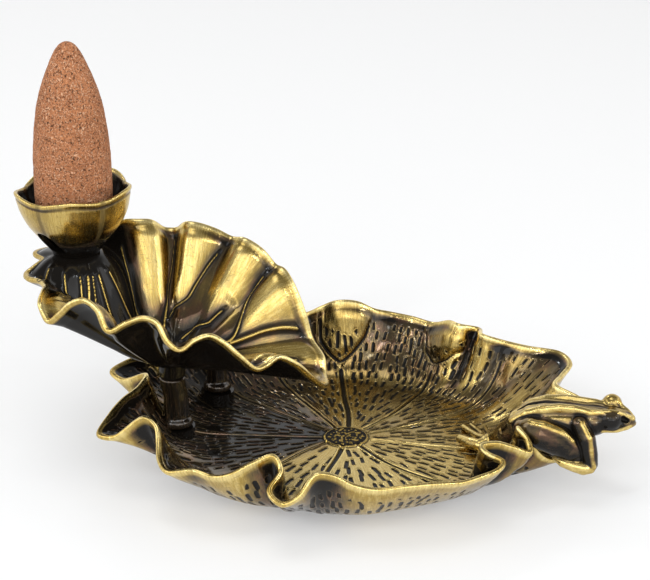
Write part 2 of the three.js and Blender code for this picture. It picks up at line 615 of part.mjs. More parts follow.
add("lotus_leaf_dish", lowerLeaf(), BRONZE);
add("upper_lotus_leaf", upperLeaf(), BRONZE);
add("front_stem", stem(FRONT_STEM), DARK_BRONZE);
add("rear_stem", stem(REAR_STEM), DARK_BRONZE);
add("bud_cup", cup(), BRONZE);
add("incense_cone", cone(), CLAY);
add("frog", frog(), BRONZE);
add("foot_pad", post(0, 0, 0, PAD_HEIGHT, PAD_RADIUS, 48), FOAM);
add("front_stem_screw",
  screw(FRONT_STEM.x, FRONT_STEM.y, DISH_UNDERSIDE, FRONT_STEM.base + 4), STEEL);
add("rear_stem_screw",
  screw(REAR_STEM.x, REAR_STEM.y, DISH_UNDERSIDE, REAR_STEM.base + 4), STEEL);
add("frog_screw", screw(frogPeg.x, frogPeg.y, FROG_BOSS_LOW, FROG_PEG.base + 3.8), STEEL);
add("cup_screw",
  screw(CUP_X, CUP_Y, CUP_BASE - SEAM - CUP_BOSS_DEPTH, CUP_BASE + CUP_FOOT_PLATE), STEEL);

export default burner;
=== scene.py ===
"""Looks of the lotus backflow incense burner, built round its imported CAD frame.

All sizes are in millimetres in the part's own frame and turn into metres where a mesh is made.
"""

import logging
import math
from collections.abc import Callable, Sequence
from dataclasses import dataclass, field
from enum import Enum
from itertools import product

import bpy
import numpy as np
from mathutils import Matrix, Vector


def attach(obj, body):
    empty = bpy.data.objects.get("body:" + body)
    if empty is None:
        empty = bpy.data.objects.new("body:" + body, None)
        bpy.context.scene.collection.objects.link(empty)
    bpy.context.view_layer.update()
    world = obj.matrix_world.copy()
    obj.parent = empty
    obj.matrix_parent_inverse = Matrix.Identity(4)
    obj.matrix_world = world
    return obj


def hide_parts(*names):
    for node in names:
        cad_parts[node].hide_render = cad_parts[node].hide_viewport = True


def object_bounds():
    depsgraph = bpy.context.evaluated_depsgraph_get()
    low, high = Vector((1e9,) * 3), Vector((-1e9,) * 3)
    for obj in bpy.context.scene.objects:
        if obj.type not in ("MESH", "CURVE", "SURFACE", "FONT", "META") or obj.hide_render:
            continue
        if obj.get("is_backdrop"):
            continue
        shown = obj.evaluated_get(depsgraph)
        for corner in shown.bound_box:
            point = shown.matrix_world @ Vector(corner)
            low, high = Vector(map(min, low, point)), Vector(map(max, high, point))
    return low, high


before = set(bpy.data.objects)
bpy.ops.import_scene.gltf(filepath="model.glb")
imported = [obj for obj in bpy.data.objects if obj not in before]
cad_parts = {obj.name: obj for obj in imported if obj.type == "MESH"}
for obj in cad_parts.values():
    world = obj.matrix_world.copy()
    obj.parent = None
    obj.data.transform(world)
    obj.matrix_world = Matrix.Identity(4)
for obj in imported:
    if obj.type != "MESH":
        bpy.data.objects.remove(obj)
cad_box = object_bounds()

log = logging.getLogger("burner")

MM = 0.001
BODY = "burner"
CONE_BODY = "cone"
SMOOTH = 180.0  # no edge is drawn sharp
HASH_STEPS = (12.9898, 65.1123)
HASH_SPREAD = 43758.5453
FAR = 9.0  # a distance that stands for nothing near
DEEPEST = 1.6  # cap on the fields mark and line
CUP_AXIS = (-48.6, 10.5)
CUP_BASE = 34.4

Array = np.ndarray
Material = bpy.types.Material
Socket = bpy.types.NodeSocket
Fields = dict[str, Array]
Pair = tuple[float, float]
Triple = tuple[float, float, float]
Colour = Triple
Rows = Sequence[tuple[float, ...]]
Sockets = dict[str | int, object]
Layer = tuple[Array, dict[str, Array | float]]


class Slot(Enum):
    """Material slots named for the replaced pieces."""

    BRONZE = "aged_bronze"
    DARK = "dark_bronze"
    INCENSE = "incense"


# Shader maths.


class Wire:
    """A number socket that Python operators combine through Math nodes."""

    def __init__(self, graph: "Graph", socket: Socket) -> None:
        """Keeps the graph and the socket."""
        self.graph = graph
        self.socket = socket

    def _math(self, operation: str, *others: "Wire | float", swap: bool = False) -> "Wire":
        """Adds a Math node.

        Args:
            operation: The node's operation.
            others: The other operands, wires or numbers.
            swap: Whether this wire is the second operand.

        Returns:
            The node's result.
        """
        values = [self, *others]
        if swap:
            values.reverse()
        return self.graph.wire("ShaderNodeMath", {"operation": operation}, dict(enumerate(values)))

    def __add__(self, other: "Wire | float") -> "Wire":
        """Sum."""
        return self._math("ADD", other)

    __radd__ = __add__

    def __mul__(self, other: "Wire | float") -> "Wire":
        """Product."""
        return self._math("MULTIPLY", other)

    __rmul__ = __mul__

    def __sub__(self, other: "Wire | float") -> "Wire":
        """Difference."""
        return self._math("SUBTRACT", other)

    def __rsub__(self, other: float) -> "Wire":
        """Difference from a number."""
        return self._math("SUBTRACT", other, swap=True)

    def __abs__(self) -> "Wire":
        """Absolute value."""
        return self._math("ABSOLUTE")

    def least(self, other: "Wire | float") -> "Wire":
        """Smaller of two."""
        return self._math("MINIMUM", other)

    def most(self, other: "Wire | float") -> "Wire":
        """Larger of two."""
        return self._math("MAXIMUM", other)

    def clamped(self) -> "Wire":
        """Value held between 0 and 1."""
        return self.most(0.0).least(1.0)

    def smooth(self, low: float, high: float) -> "Wire":
        """Smooth step.

        Args:
            low: Value where the result is 0.
            high: Value where the result is 1; it may be below low.

        Returns:
            The step, from 0 to 1.
        """
        flip = low > high
        first, last = (high, low) if flip else (low, high)
        step = self.graph.wire("ShaderNodeMapRange", {"interpolation_type": "SMOOTHSTEP"},
                               {"Value": self, "From Min": first, "From Max": last})
        return 1.0 - step if flip else step


class Graph:
    """Node tree of a material or a world, with short ways to add its nodes."""

    def __init__(self, owner: Material | bpy.types.World,
                 output: str = "ShaderNodeOutputMaterial") -> None:
        """Empties the owner's tree and adds its output node.

        Args:
            owner: The material or world.
            output: Type of its output node.
        """
        self.owner = owner
        owner.use_nodes = True
        self.tree = owner.node_tree
        self.tree.nodes.clear()
        self.output = self.tree.nodes.new(output)

    def node(self, kind: str, settings: dict[str, object], sockets: Sockets) -> bpy.types.Node:
        """Adds one node.

        Args:
            kind: The node's type.
            settings: Attributes that are set before the inputs.
            sockets: Values or links for the inputs, by name or number.

        Returns:
            The node.
        """
        made = self.tree.nodes.new(kind)
        for key, value in settings.items():
            setattr(made, key, value)
        for key, value in sockets.items():
            target = made.inputs[key]
            source = value.socket if isinstance(value, Wire) else value
            if isinstance(source, Socket):
                self.tree.links.new(source, target)
            else:
                target.default_value = (*source, 1.0) if target.type == "RGBA" else source
        return made

    def wire(self, kind: str, settings: dict[str, object], sockets: Sockets,
             output: str | int = 0) -> Wire:
        """Adds one node and returns one of its outputs as a wire."""
        return Wire(self, self.node(kind, settings, sockets).outputs[output])

    def field(self, name: str) -> Wire:
        """Number that the mesh holds at each vertex under a name."""
        return self.wire("ShaderNodeAttribute", {"attribute_name": name}, {}, "Fac")

    def place(self, scale: Triple = (1.0, 1.0, 1.0), name: str | None = None) -> Socket:
        """Scaled place in millimetres.

        Args:
            scale: Factor along each axis.
            name: Vertex field to read instead of the object's own coordinates.

        Returns:
            The vector socket.
        """
        if name:
            source = self.node("ShaderNodeAttribute", {"attribute_name": name}, {}).outputs["Vector"]
        else:
            source = self.node("ShaderNodeTexCoord", {}, {}).outputs["Object"]
            scale = tuple(s / MM for s in scale)
        scaled = self.node("ShaderNodeVectorMath", {"operation": "MULTIPLY"}, {0: source, 1: scale})
        return scaled.outputs[0]

    def noise(self, place: Socket, scale: float, detail: float = 3.0,
              rough: float = 0.55, twist: float = 0.0) -> Wire:
        """Adds noise.

        Args:
            place: Where it is read.
            scale: Its scale.
            detail: Its detail.
            rough: How rough the detail is.
            twist: Its distortion.

        Returns:
            The noise, from 0 to 1.
        """
        return self.wire("ShaderNodeTexNoise", {},
                         {"Vector": place, "Scale": scale, "Detail": detail,
                          "Roughness": rough, "Distortion": twist})

    def cells(self, place: Socket, scale: float) -> Wire:
        """Distance to the middle of the nearest Voronoi cell at a place."""
        return self.wire("ShaderNodeTexVoronoi", {}, {"Vector": place, "Scale": scale}, "Distance")

    def blend(self, share: Wire | float, first: object, second: object) -> Socket:
        """Mixes two colours or colour sockets; share says how much of the second shows."""
        made = self.node("ShaderNodeMix", {"data_type": "RGBA"}, {0: share, 6: first, 7: second})
        return made.outputs[2]

    def bump(self, height: Wire, depth_mm: float, below: Socket | None = None) -> Socket:
        """Adds a bump.

        Args:
            height: Height, of which 1 stands for the depth.
            depth_mm: The depth in millimetres.
            below: Normal of a bump that this one lies on.

        Returns:
            The normal.
        """
        sockets: Sockets = {"Height": height, "Distance": depth_mm * MM, "Strength": 1.0}
        if below:
            sockets["Normal"] = below
        return self.node("ShaderNodeBump", {}, sockets).outputs[0]

    def surface(self, sockets: Sockets) -> Material:
        """Ends the tree in a Principled shader and returns the material."""
        self.end(self.node("ShaderNodeBsdfPrincipled", {}, sockets))
        return self.owner

    def end(self, shader: bpy.types.Node) -> None:
        """Links a shader to the output."""
        self.tree.links.new(shader.outputs[0], self.output.inputs["Surface"])


# Finishes.


@dataclass(frozen=True)
class Finish:
    """Finish that ends in one Principled shader."""

    name: str

    def material(self) -> Material:
        """Builds the material and returns it."""
        g = Graph(bpy.data.materials.new(self.name))
        return g.surface(self.sockets(g))

    def sockets(self, g: Graph) -> Sockets:
        """Values and wires for the shader's sockets, which each finish gives."""
        raise NotImplementedError


@dataclass(frozen=True)
class AntiqueBronze(Finish):
    """Dark glossy lacquer, rubbed back to brushed gold where the casting stands proud; its pale gold is partly
    painted highlight.
    """

    lacquer: Colour = (0.0065, 0.0052, 0.004)
    umber: Colour = (0.13, 0.095, 0.048)
    russet: Colour = (0.145, 0.082, 0.05)
    gold: Colour = (0.47, 0.325, 0.085)
    pale_gold_and_highlight: Colour = (0.9, 0.72, 0.31)
    border: Pair = (0.94, 1.06)
    lip_band: Pair = (0.7, 0.88)
    hem_band: Pair = (0.58, 0.8)
    brushing: Triple = (6.0, 6.0, 0.4)
    stamp_depth: float = 0.14
    brush_depth: float = 0.006
    scratch_runs: tuple[tuple[Triple, float], ...] = (
        ((9.0, 0.55, 0.9), 1.0), ((0.6, 8.0, 1.1), 1.15), ((5.5, 5.0, 0.5), 0.9))

    def sockets(self, g: Graph) -> Sockets:
        """Works the look out from the vertex fields.

        They are polish_and_painted_light, edge, ink and grain, and two that say how deep a point lies inside a
        stamped mark or a raised line: 1 on its border and 0 at 1 mm outside. The first is wear mixed
        with painted shade and painted highlights.

        Args:
            g: The material's graph.

        Returns:
            The shader's sockets.
        """
        polish_and_painted_light, mark, line = g.field("polish_and_painted_light"), g.field("mark"), g.field("line")
        stamp, crest = mark.smooth(*self.border), line.smooth(*self.border)
        lip = mark.smooth(*self.lip_band) * (1.0 - stamp)
        hem = line.smooth(*self.hem_band) * (1.0 - crest)
        ink = g.field("ink").most(stamp).most(hem * 0.85) * (1.0 - crest)
        edge = g.field("edge").most(crest * 0.8).most(lip * (polish_and_painted_light * 0.95 - 0.22))
        streak = g.noise(g.place(self.brushing, "grain"), 1.0, 4.0, 0.65)
        here = g.place()
        cloud = g.noise(here, 0.33, 3.0, 0.6)
        speck = g.noise(here, 3.2, 2.0, 0.7)
        scratch = self.scratches(g)
        # Painted light: the polish field mixes wear with painted shade and painted highlights, and thin and bare
        # follow it.
        wear_and_painted_light = (polish_and_painted_light + lip * (0.28 - polish_and_painted_light * 0.6) + (streak - 0.5) * 0.36 + (cloud - 0.5) * 0.3
                + (speck - 0.5) * 0.1)
        clean = 1.0 - ink
        thin = wear_and_painted_light.smooth(0.05, 0.42) * clean
        bare = wear_and_painted_light.smooth(0.3, 0.8).most(edge.smooth(0.12, 0.85)) * clean
        # Painted highlight: brushing, rubbed edges and the highest polish blend in the pale gold, which partly stands
        # in for lamp highlights.
        brushing_and_highlight = ((streak - 0.44) * 1.9 + edge * 0.4 + (polish_and_painted_light - 0.72) * 0.8).clamped()
        pits = g.noise(here, 2.1, 3.0, 0.75).smooth(0.71, 0.78) * bare * 0.3
        colour = g.blend(thin, self.lacquer, g.blend(cloud.smooth(0.44, 0.64), self.umber, self.russet))
        colour = g.blend(bare, colour, g.blend(brushing_and_highlight, self.gold, self.pale_gold_and_highlight))
        colour = g.blend(scratch * 0.3 * bare, colour, self.umber)
        colour = g.blend(pits, colour, self.lacquer)
        rough = (0.12 + bare * 0.14 + ink * 0.4 - stamp * 0.2 + (streak - 0.5) * 0.1 * bare
                 + scratch * 0.08)
        brushed = g.bump(streak * bare, self.brush_depth)
        return {
            "Base Color": colour, "Metallic": thin.most(bare), "Roughness": rough.clamped(),
            "Coat Weight": (1.0 - bare * 0.85) * (clean * 0.7 + stamp * 0.3) * 0.4,
            "Coat Roughness": 0.06, "Specular IOR Level": 0.1,
            "Normal": g.bump(crest * 0.6 + lip * 0.3 - stamp - hem * 0.3, self.stamp_depth, brushed),
        }

    def scratches(self, g: Graph) -> Wire:
        """Hairline scratches that cross at a few angles.

        Args:
            g: The material's graph.

        Returns:
            1 in a scratch and 0 elsewhere.
        """
        runs = [g.noise(g.place(stretch), size, 1.0, 0.5, 0.4).smooth(0.665, 0.7)
                for stretch, size in self.scratch_runs]
        return runs[0].most(runs[1]).most(runs[2])


@dataclass(frozen=True)
class DarkBronze(Finish):
    """Near-black lacquer with brown streaks along a stem."""

    lacquer: Colour = (0.008, 0.0065, 0.005)
    umber: Colour = (0.075, 0.042, 0.016)
    streaking: Triple = (4.0, 4.0, 0.35)
    streak_depth: float = 0.015

    def sockets(self, g: Graph) -> Sockets:
        """Works the look out from the streaks and the field edge.

        Args:
            g: The material's graph.

        Returns:
            The shader's sockets.
        """
        streak = g.noise(g.place(self.streaking), 1.0, 4.0, 0.65)
        brown = (streak.smooth(0.42, 0.72) * 0.75 + g.field("edge") * 0.5).clamped()
        return {
            "Base Color": g.blend(brown, self.lacquer, self.umber), "Metallic": 0.55,
            "Roughness": 0.2 + streak * 0.12, "Coat Weight": 0.7, "Coat Roughness": 0.08,
            "Normal": g.bump(streak, self.streak_depth),
        }


@dataclass(frozen=True)
class PressedIncense(Finish):
    """Matt pressed powder with pale fibres, chips and dark specks."""

    clay: Colour = (0.58, 0.24, 0.105)
    dark: Colour = (0.2, 0.068, 0.032)
    chip: Colour = (0.84, 0.52, 0.33)
    soot: Colour = (0.04, 0.018, 0.012)
    grain_depth: float = 0.12

    def sockets(self, g: Graph) -> Sockets:
        """Works the look out from noise.

        Args:
            g: The material's graph.

        Returns:
            The shader's sockets.
        """
        here = g.place()
        grain = g.noise(here, 2.6, 4.0, 0.75)
        cloud = g.noise(here, 0.22, 2.0, 0.5)
        fibres = self.fibres(g, here, 1.5, 0.53).most(self.fibres(g, g.place((1.2, 1.1, 0.8)), 2.1, 0.55))
        cracks = self.fibres(g, g.place((0.9, 1.15, 1.1)), 1.6, 0.53)
        specks = g.noise(g.place((1.2, 0.9, 1.0)), 2.4, 1.0, 0.4, 0.8).smooth(0.64, 0.69)
        colour = g.blend(((grain - 0.5) * 2.4 + 0.62 + (cloud - 0.5) * 0.6).clamped(),
                         self.dark, self.clay)
        colour = g.blend(fibres * 0.7, colour, self.chip)
        colour = g.blend((cracks * 0.7).most(specks * 0.85), colour, self.soot)
        relief = g.bump(grain + fibres * 0.5 - specks * 0.6 - cracks * 0.5, self.grain_depth)
        return {"Base Color": colour, "Roughness": 0.92, "Specular IOR Level": 0.2, "Normal": relief}

    @staticmethod
    def fibres(g: Graph, place: Socket, scale: float, low: float) -> Wire:
        """Short curled lines, where noise crosses its middle.

        Args:
            g: The material's graph.
            place: Where the noise is read.
            scale: Its scale.
            low: Share of a second noise below which no line shows.

        Returns:
            1 on a line and 0 elsewhere.
        """
        line = abs(g.noise(place, scale, 0.0, 0.5, 0.6) - 0.5).smooth(0.06, 0.018)
        return line * g.noise(place, scale * 1.9, 0.0).smooth(low - 0.04, low + 0.04)


@dataclass(frozen=True)
class ZincSteel(Finish):
    """Plain zinc-plated steel of a hidden screw."""

    tone: Colour = (0.52, 0.52, 0.54)
    dull: Colour = (0.3, 0.3, 0.31)

    def sockets(self, g: Graph) -> Sockets:
        """Works the look out from stains and turned rings.

        Args:
            g: The material's graph.

        Returns:
            The shader's sockets.
        """
        stain = g.noise(g.place(), 0.8, 3.0)
        ring = g.noise(g.place((1.0, 1.0, 9.0)), 1.2, 2.0)
        return {"Base Color": g.blend(stain * 0.5, self.tone, self.dull), "Metallic": 1.0,
                "Roughness": 0.28 + ring * 0.2, "Normal": g.bump(ring, 0.01)}


@dataclass(frozen=True)
class FoamRubber(Finish):
    """Black closed-cell foam of the foot pad."""

    tone: Colour = (0.018, 0.018, 0.019)
    cell: Colour = (0.05, 0.05, 0.052)

    def sockets(self, g: Graph) -> Sockets:
        """Works the look out from the pores.

        Args:
            g: The material's graph.

        Returns:
            The shader's sockets.
        """
        pores = g.cells(g.place(), 2.4)
        return {"Base Color": g.blend(pores, self.tone, self.cell), "Roughness": 0.85 + pores * 0.1,
                "Normal": g.bump(pores, 0.06)}


@dataclass(frozen=True)
class PaleGround(Finish):
    """Matt pale table that shows white where it is seen or mirrored, and keeps its shadows."""

    tone: Colour = (0.7, 0.7, 0.7)
    lift: Colour = (0.285, 0.285, 0.285)
    dark: Colour = (0.0, 0.0, 0.0)

    def sockets(self, g: Graph) -> Sockets:
        """Lifts the tone for rays from the camera, a mirror or glass.

        Args:
            g: The material's graph.

        Returns:
            The shader's sockets.
        """
        camera, glossy, clear = (g.wire("ShaderNodeLightPath", {}, {}, f"Is {kind} Ray")
                                 for kind in ("Camera", "Glossy", "Transmission"))
        return {"Base Color": self.tone, "Roughness": 0.9, "Specular IOR Level": 0.1,
                "Emission Color": g.blend(camera.most(glossy).most(clear), self.dark, self.lift),
                "Emission Strength": 1.0}


# Mesh helpers.


def smoothstep(x: Array | float, low: Array | float, high: Array | float) -> Array:
    """Smooth step from 0 at low to 1 at high."""
    k = np.clip((np.asarray(x, float) - low) / (high - low), 0.0, 1.0)
    return k * k * (3.0 - 2.0 * k)


def bell(x: Array, width: Array | float, power: int = 2) -> Array:
    """Bell that is 1 at 0 and dies away beyond its width."""
    return np.exp(-((x / width) ** power))


def circle(stations: int) -> Array:
    """Azimuths of evenly spread stations, in radians."""
    return np.arange(stations) * 2 * np.pi / stations


def ring_at(x: float, y: float, azimuth: Array, r: Array | float, z: Array | float) -> Array:
    """Points of a ring about an upright axis."""
    return np.stack([x + np.cos(azimuth) * r, y + np.sin(azimuth) * r,
                     np.broadcast_to(z, azimuth.shape)], 1)


def depth_field(inside: Array) -> Array:
    """Field mark or line from how deep points lie inside, in millimetres."""
    return np.clip(1.0 + inside, 0.0, DEEPEST)


def jitter(*keys: Array | float) -> Array:
    """Repeatable random numbers.

    Args:
        keys: Whole numbers that name the draw, an array first.

    Returns:
        Numbers from 0 to 1.
    """
    total = np.zeros_like(np.asarray(keys[0], float))
    for k, key in enumerate(keys):
        total = total + np.asarray(key, float) * (HASH_STEPS[0] + HASH_STEPS[1] * k)
    return np.mod(np.sin(total) * HASH_SPREAD, 1.0)


def ring_mean(values: Array, reach: int) -> Array:
    """Running mean round closed rings.

    Args:
        values: Array whose second axis runs round the ring.
        reach: Stations taken on each side.

    Returns:
        The mean, of the same shape.
    """
    total = values.copy()
    for k in range(1, reach + 1):
        total = total + np.roll(values, k, axis=1) + np.roll(values, -k, axis=1)
    return total / (2 * reach + 1)


def turn(angle: Array) -> Array:
    """Angle brought between minus pi and pi."""
    return (angle + np.pi) % (2 * np.pi) - np.pi


@dataclass
class Skin:
    """Closed mesh made of rings of vertices, with a number for each vertex in each named field."""

    points: list[Array] = field(default_factory=list)
    fields: dict[str, list[Array]] = field(default_factory=dict)
    quads: list[Array] = field(default_factory=list)
    thirds: list[Array] = field(default_factory=list)
    count: int = 0

    def ring(self, points: Array, **values: Array | float) -> Array:
        """Adds vertices.

        Args:
            points: Their places in millimetres.
            values: The fields' values at them.

        Returns:
            The vertices' numbers.
        """
        points = np.atleast_2d(points)
        n = len(points)
        self.points.append(points)
        for key, value in values.items():
            value = np.asarray(value, float)
            self.fields.setdefault(key, []).append(np.array(value if value.ndim else np.full(n, value)))
        numbers = np.arange(self.count, self.count + n)
        self.count += n
        return numbers

    def join(self, first: Array, second: Array) -> None:
        """Joins two closed rings, of which one may be a single vertex or have twice the other's.

        Args:
            first: Numbers of the ring nearer the start.
            second: Numbers of the next ring.
        """
        after_first, after_second = np.roll(first, -1), np.roll(second, -1)
        if len(first) == 1:
            corners = [(np.repeat(first, len(second)), second, after_second)]
        elif len(second) == 1:
            corners = [(first, np.repeat(second, len(first)), after_first)]
        elif len(first) == len(second):
            corners = [(first, second, after_second, after_first)]
        elif len(second) > len(first):
            even, odd, after = second[0::2], second[1::2], np.roll(second[0::2], -1)
            corners = [(first, even, odd), (first, odd, after_first), (after_first, odd, after)]
        else:
            even, odd, after = first[0::2], first[1::2], np.roll(first[0::2], -1)
            corners = [(even, second, odd), (odd, second, after_second), (odd, after_second, after)]
        for corner in corners:
            (self.quads if len(corner) == 4 else self.thirds).append(np.stack(corner, 1))

    def stack(self, layers: Sequence[Layer], upward: bool = False) -> list[Array]:
        """Adds rings and joins each one to the last.

        Args:
            layers: Places and field values of each ring.
            upward: Whether the rings climb the outside, which turns the faces the other way.

        Returns:
            Each ring's vertex numbers.
        """
        rings = [self.ring(points, **values) for points, values in layers]
        for last, now in zip(rings, rings[1:]):
            self.join(*((now, last) if upward else (last, now)))
        return rings

    def piece(self, name: str, material: Material, crease: float = SMOOTH) -> bpy.types.Object:
        """Makes the object.

        Args:
            name: The piece's name.
            material: Its material.
            crease: Angle in degrees above which an edge is drawn sharp.

        Returns:
            The object.
        """
        faces = [f.tolist() for block in self.quads + self.thirds for f in block]
        return mesh_object(name, np.concatenate(self.points), faces,
                           {k: np.concatenate(v) for k, v in self.fields.items()}, material, crease)


def mesh_object(name: str, points: Array, faces: list[list[int]], fields: Fields, material: Material,
                crease: float = SMOOTH) -> bpy.types.Object:
    """Makes a mesh object from millimetres.

    Args:
        name: The object's name.
        points: Vertices in millimetres.
        faces: Vertex numbers of each face.
        fields: Numbers or vectors to keep at the vertices.
        material: The material.
        crease: Angle in degrees above which an edge is drawn sharp.

    Returns:
        The object, linked to the scene.
    """
    mesh = bpy.data.meshes.new(name)
    mesh.from_pydata((points * MM).tolist(), [], faces)
    mesh.validate()
    for key, values in fields.items():
        vector = values.ndim == 2
        layer = mesh.attributes.new(key, "FLOAT_VECTOR" if vector else "FLOAT", "POINT")
        layer.data.foreach_set("vector" if vector else "value", values.astype(np.float32).ravel())
    mesh.shade_smooth()
    if crease < SMOOTH:
        mesh.set_sharp_from_angle(angle=math.radians(crease))
    mesh.materials.append(material)
    made = bpy.data.objects.new(name, mesh)
    bpy.context.scene.collection.objects.link(made)
    return made


def fit_out(piece: bpy.types.Object, body: str, slot: Slot, *nodes: str) -> None:
    """Lets a piece ride on its body and stand for its nodes.

    Args:
        piece: The piece.
        body: The CAD body.
        slot: The piece's material slot; not used.
        nodes: CAD nodes that it stands for.
    """
    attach(piece, body)
    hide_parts(*nodes)
    log.info("%s: %d faces on %s", piece.name, len(piece.data.polygons), body)


# The two leaves.


@dataclass(frozen=True)
class Vein:
    """One vein: its path as azimuth and distance along the sheet, and its half width at both ends."""

    path: Rows
    start: float = 0.11
    end: float = 0.08

    def azimuth(self, s: Array, samples: int = 60, reach: int = 4) -> Array:
        """Azimuth of the eased path.

        Args:
            s: Distances along the sheet.
            samples: Points at which the path is eased.
            reach: Samples that are averaged on each side.

        Returns:
            The azimuths in radians.
        """
        rows = np.asarray(self.path, float)
        fine = np.linspace(rows[0, 1], rows[-1, 1], samples)
        padded = np.pad(np.interp(fine, rows[:, 1], rows[:, 0]), reach, mode="reflect", reflect_type="odd")
        wide = 2 * reach + 1
        eased = np.convolve(padded, np.ones(wide) / wide, "valid")
        return np.radians(np.interp(s, fine, eased))


@dataclass
class Sheet:
    """Grid of points on a leaf, ring by ring from the centre to the rim."""

    middle: Array
    normal: Array
    along: Array
    azimuth: Array
    radius: Array
    swell: Array
    broad: Array

    @property
    def edge_gap(self) -> Array:
        """Distance along the sheet to the rim."""
        return self.along[-1][None] - self.along

    @property
    def share(self) -> Array:
        """Share of the way from the centre to the rim."""
        return self.along / self.along[-1][None]

    def ridge(self, swell: float, broad: float) -> Array:
        """How proud a point stands, from -1 to 1, given the swells that count as full."""
        return np.clip(self.swell / swell, -1.0, 1.0) * 0.6 + np.clip(self.broad / broad, -1.0, 1.0) * 0.4


@dataclass
class Leaf:
    """Thin leaf that spreads from a flat centre to a wavy rim.

    The rim's rows are azimuth, reach, rise and, for a few, how many degrees they lean over. The
    mound is a flat place for the cup: its middle, top, flat radius and foot radius. The channel
    under the bead is its depth, its distance from the rim and its width.
    """

    centre: Triple
    floor: float
    curve: float
    fold: float
    lift: float
    flare: float
    rim: Rows
    stations: int
    mound: tuple[float, ...] | None = None
    thickness: float = 1.3
    bead: float = 0.56
    bead_angles: tuple[float, ...] = (48.0, 70.0, 90.0, 110.0, 132.0)
    slow_waves: int = 4
    slow_samples: int = 720
    rim_samples: int = 6001
    swell_reach: tuple[int, int] = (8, 22)
    bead_tangent: float = 30.0
    bead_fade: Pair = (2.4, 0.6)
    relief_fade: Pair = (0.6, 1.6)
    channel: Triple = (0.05, 1.05, 0.25)
    roll_under: Pair = (1.7, 2.3)
    grain_reach: float = 20.0

    def __post_init__(self) -> None:
        """Works out the rim's control points and the slow waves that it follows."""
        rows = np.array([(*row, 0.0)[:4] for row in self.rim], float)
        lean = np.radians(rows[:, 0] + rows[:, 3])
        self.spokes = np.radians(rows[:, 0])
        self.controls = np.stack([np.cos(lean) * rows[:, 1], np.sin(lean) * rows[:, 1], rows[:, 2]], 1)
        n = self.slow_samples
        t = np.arange(n) / n
        p, azimuth = self.lip(t), self.azimuth_at(t)
        step = (self.azimuth_at(np.minimum(t + 0.5 / n, 1.0 - 1e-9))
                - self.azimuth_at(np.maximum(t - 0.5 / n, 0.0)))
        reach, rise = np.hypot(p[:, 0], p[:, 1]), p[:, 2]
        self.slow = []
        for m in range(self.slow_waves):
            share = (2.0 if m else 1.0) * step / step.sum()
            self.slow.append([float((share * v * f(m * azimuth)).sum())
                              for v in (reach, rise) for f in (np.cos, np.sin)])

    def lip(self, t: Array) -> Array:
        """Centripetal Catmull-Rom curve through the rim's controls.

        Args:
            t: Shares of the way round.

        Returns:
            Points relative to the centre.
        """
        p, n = self.controls, len(self.controls)
        x = (np.asarray(t, float) % 1.0) * n
        i = np.floor(x).astype(int)
        w = (x - i)[:, None]
        p0, p1, p2, p3 = (p[(i + k) % n] for k in (-1, 0, 1, 2))
        d0, d1, d2 = (np.sqrt(np.linalg.norm(b - a, axis=1))[:, None]
                      for a, b in ((p0, p1), (p1, p2), (p2, p3)))
        t1 = ((p1 - p0) / d0 - (p2 - p0) / (d0 + d1) + (p2 - p1) / d1) * d1
        t2 = ((p2 - p1) / d1 - (p3 - p1) / (d1 + d2) + (p3 - p2) / d2) * d1
        return p1 + w * (t1 + w * (3 * (p2 - p1) - 2 * t1 - t2 + w * (2 * (p1 - p2) + t1 + t2)))

    def azimuth_at(self, t: Array) -> Array:
        """Azimuth of the spoke that meets the rim at t."""
        rows = np.append(self.spokes, self.spokes[0] + 2 * np.pi)
        return np.interp(np.asarray(t) * len(self.spokes), np.arange(len(rows)), rows)

    def even_stations(self) -> Array:
        """Spreads the stations evenly along the rim.

        Returns:
            Their shares of the way round.
        """
        t = np.linspace(0.0, 1.0, self.rim_samples)
        steps = np.linalg.norm(np.diff(self.lip(t), axis=0), axis=1)
        length = np.concatenate([[0.0], np.cumsum(steps)])
        return np.interp(np.arange(self.stations) / self.stations * length[-1], length, t)

    def wall(self, u: Array, t: Array) -> Array:
        """Points of the middle of the sheet.

        Args:
            u: Shares of the way from the floor's edge to the rim.
            t: Shares of the way round.

        Returns:
            Array of rings by stations by 3.
        """
        u = np.asarray(u, float)[:, None]
        azimuth, lip = self.azimuth_at(t)[None], self.lip(t)
        reach, rise = (sum(c[k] * np.cos(m * azimuth) + c[k + 1] * np.sin(m * azimuth)
                           for m, c in enumerate(self.slow)) for k in (0, 2))
        fold = u ** self.fold
        radius = self.floor + (reach - self.floor) * u
        outward = np.maximum(0.0, np.hypot(lip[:, 0], lip[:, 1])[None] - reach)
        x = np.cos(azimuth) * (radius - reach * fold) + lip[:, 0] * fold + self.centre[0]
        y = np.sin(azimuth) * (radius - reach * fold) + lip[:, 1] * fold + self.centre[1]
        z = (rise * u ** self.curve + (lip[:, 2] - rise) * u ** self.lift
             + self.flare * outward * (u ** 2 - u ** 4) + self.centre[2])
        if self.mound:
            mx, my, top, flat, foot = self.mound
            z = top + (z - top) * smoothstep(np.hypot(x - mx, y - my), flat, foot)
        return np.stack([x, y, z], -1)

    def sheet(self, floor_radii: Array, wall_shares: Array, puff: Callable[[Sheet], Array]) -> Sheet:
        """Lays a grid over the sheet.

        Args:
            floor_radii: Radii of the rings on the floor, without its edge.
            wall_shares: Shares of the way up the wall, from 0 to 1.
            puff: Gives how far the sheet swells up from its plain form.

        Returns:
            The grid with its normals and measures.
        """
        wall = self.wall(wall_shares, self.even_stations())
        centre = np.array(self.centre)
        inner = centre + (wall[0] - centre) * (floor_radii / self.floor)[:, None, None]
        grid = self.measured(np.concatenate([inner, wall]), floor_radii)
        return self.measured(grid.middle + grid.normal * puff(grid)[..., None], floor_radii)

